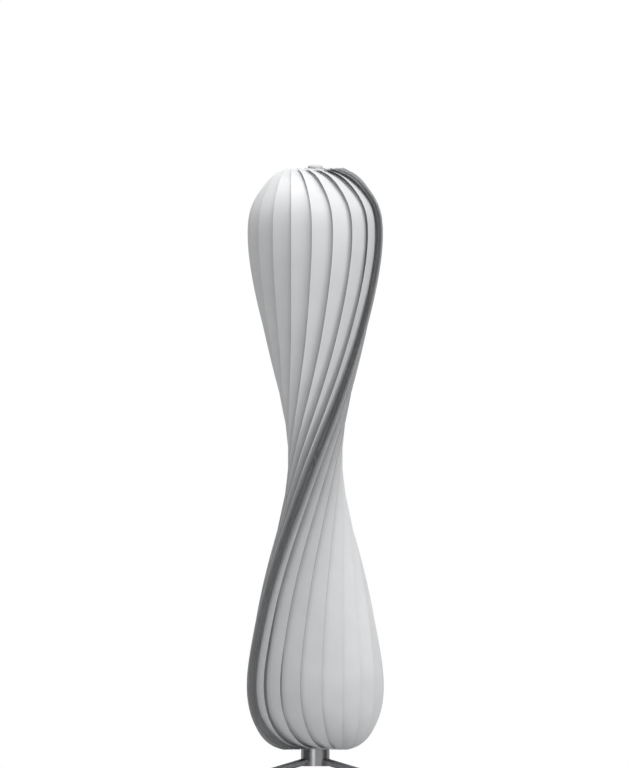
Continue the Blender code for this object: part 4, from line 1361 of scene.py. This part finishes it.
def globe_outline(loss):
    """The globe's side from its top to its foot, inset by the loss: a sphere that runs into a neck."""
    radius = GLOBE_R - loss
    neck = GLOBE_NECK_R - loss
    points = []
    for i in range(GLOBE_RINGS):
        angle = GLOBE_END * i / (GLOBE_RINGS - 1)
        points.append((radius * math.sin(angle), GLOBE_CENTRE + radius * math.cos(angle)))
    start = Vector(points[-1])
    end = Vector((neck, GLOBE_SHOULDER))
    fall = Vector((-math.cos(GLOBE_END), -math.sin(GLOBE_END)))
    pull = Vector((-abs(fall.x), -abs(fall.y))) * SPHERE_PULL
    for i in range(1, NECK_POINTS + 1):
        t = i / NECK_POINTS
        first, second = start + pull, end + Vector((0, NECK_PULL))
        blend = (1 - t) ** 3 * start + 3 * (1 - t) ** 2 * t * first
        blend += 3 * (1 - t) * t**2 * second + t**3 * end
        points.append(tuple(blend))
    return points + [(neck, GLOBE_FOOT)]


for lamp, (height, side) in LAMPS.items():
    seat = height + BRACKET_THICKNESS + GAP + BULB_SEAT
    place_matrix = Matrix.Translation((side * LAMP_OFFSET, 0, seat))
    glass = spun(globe_outline(0) + globe_outline(GLOBE_WALL)[::-1], GLOBE_STEPS, matrix=place_matrix)
    globe = make_object(f"{lamp}_globe_opal", glass, opal_glass)
    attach(globe, f"{lamp}_bulb")
    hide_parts(f"{lamp}_bulb_globe")

    cap_shape = rolled_thread(CAP_R, CAP_ROOT_R, *CAP_THREAD)
    skirt = extend(cap_shape, rim(cap_shape, CAP_THREAD[1]), CAP_R, CAP_THREAD[1] + CAP_SKIRT)
    extend(cap_shape, skirt, CAP_R, CAP_HEIGHT)
    shoulder = rim(cap_shape, CAP_THREAD[0])
    for radius, level in CAP_SHOULDER:
        shoulder = extend(cap_shape, shoulder, radius, level)
    bmesh.ops.recalc_face_normals(cap_shape, faces=cap_shape.faces)
    bmesh.ops.transform(cap_shape, matrix=place_matrix, verts=cap_shape.verts)
    cap = make_object(f"{lamp}_bulb_screw_cap", cap_shape, nickel_cap)
    sheet = cap.modifiers.new("sheet", "SOLIDIFY")
    sheet.thickness = SHEET
    sheet.offset = -1
    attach(cap, f"{lamp}_bulb")
    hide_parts(f"{lamp}_bulb_cap")

    post_outline = [
        (0, POST_TOP),
        (POST_R - POST_CHAMFER, POST_TOP),
        (POST_R, POST_TOP - POST_CHAMFER),
        (POST_R, GLOBE_SHOULDER),
        (POST_BASE_R, GLOBE_SHOULDER - POST_FLARE),
        (POST_BASE_R, POST_FOOT),
        (0, POST_FOOT),
    ]
    post_shape = spun(post_outline, BORE_SIDES)
    for i in range(LED_COUNT):
        led = cuboid(LED_SIZE, (POST_R + LED_SIZE[0] / 2, 0, LED_HEIGHT))
        turn = Matrix.Rotation(math.tau * i / LED_COUNT, 3, "Z")
        bmesh.ops.rotate(led, cent=(0, 0, 0), matrix=turn, verts=led.verts)
        add_shape(post_shape, led, 1)
    bmesh.ops.transform(post_shape, matrix=place_matrix, verts=post_shape.verts)
    post = make_object(f"{lamp}_led_post_ceramic", post_shape, ceramic, phosphor)
    soften(post, POST_EDGE, segments=2)
    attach(post, f"{lamp}_bulb")
    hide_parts(f"{lamp}_led_post")

    contact_outline = [(0, CONTACT_TOP), (CONTACT_R, CONTACT_TOP)]
    contact_outline += [(CONTACT_R - inward, CONTACT_BOTTOM + up) for inward, up in CONTACT_ROUND]
    contact_shape = spun([*contact_outline, (0, CONTACT_BOTTOM)], BORE_SIDES, matrix=place_matrix)
    contact = make_object(f"{lamp}_bulb_button", contact_shape, turned_brass)
    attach(contact, f"{lamp}_bulb_thread")
    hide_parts(f"{lamp}_bulb_contact")


# Lead wires
# Silicone-sheathed leads of 2.4 mm. Each goes from the terminal block into the tube, up inside it,
# out of its side below the bracket, and into the lampholder's stub.

WIRE_R = 0.0012
WIRE_LANE = 0.0020
BEND_POINTS = 6
BEND_REACH = 0.0030
BEND_SHARE = 0.45

# Silicone sheath: soft off-white, dull, with faint extrusion marks.
SHEATH_MM = 0.9
silicone, _ = grained_finish(
    "white_silicone_sheath", "E8E7E2", 0.52, grain_mm=SHEATH_MM, gloss=(0.44, 0.60), relief=(0.2, 0.00004)
)


def rounded_route(route):
    """The route with a curve in place of each corner."""
    route = [Vector(point) for point in route]
    points = [route[0]]
    for before, corner, after in zip(route, route[1:], route[2:]):
        back = before - corner
        on = after - corner
        first = corner + back.normalized() * min(BEND_REACH, back.length * BEND_SHARE)
        last = corner + on.normalized() * min(BEND_REACH, on.length * BEND_SHARE)
        for i in range(BEND_POINTS + 1):
            t = i / BEND_POINTS
            points.append((1 - t) ** 2 * first + 2 * (1 - t) * t * corner + t**2 * last)
    return points + [route[-1]]


for lamp, (height, side) in LAMPS.items():
    lane = side * WIRE_LANE
    entry = LEAD_ENTRY - side * WIRE_LANE
    block_face = BLOCK_CENTRE.x + BLOCK_SIZE.x / 2 + GAP
    exit_height = height - WIRE_EXIT_DROP
    route = [
        (block_face, 0, entry),
        (-0.0046, 0, entry),
        (lane - 0.0006, 0, entry + 0.0014),
        (lane, 0, entry + 0.0040),
    ]
    outside = [
        (WIRE_LANE, -0.0070),
        (0.0030, -0.0012),
        (0.0060, 0.0),
        (0.0250, -0.0040),
        (LAMP_OFFSET - 0.0080, -0.0030),
        (LAMP_OFFSET - 0.0015, 0.0030),
        (LAMP_OFFSET, 0.0090),
        (LAMP_OFFSET, WIRE_EXIT_DROP + BRACKET_THICKNESS + HOLDER_FLOOR - 0.0030),
    ]
    route += [(side * x, 0, exit_height + z) for x, z in outside]
    points = rounded_route(route)
    curve = bpy.data.curves.new(f"{lamp}_lead_wire", "CURVE")
    curve.dimensions = "3D"
    curve.bevel_depth = WIRE_R
    curve.bevel_resolution = 4
    curve.use_fill_caps = True
    line = curve.splines.new("POLY")
    line.points.add(len(points) - 1)
    for point, spot in zip(line.points, points):
        point.co = (*spot, 1)
    curve.materials.append(silicone)
    lead = bpy.data.objects.new(f"{lamp}_lead_wire", curve)
    bpy.context.scene.collection.objects.link(lead)
    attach(lead, "stand")
    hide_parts(f"{lamp}_lead")
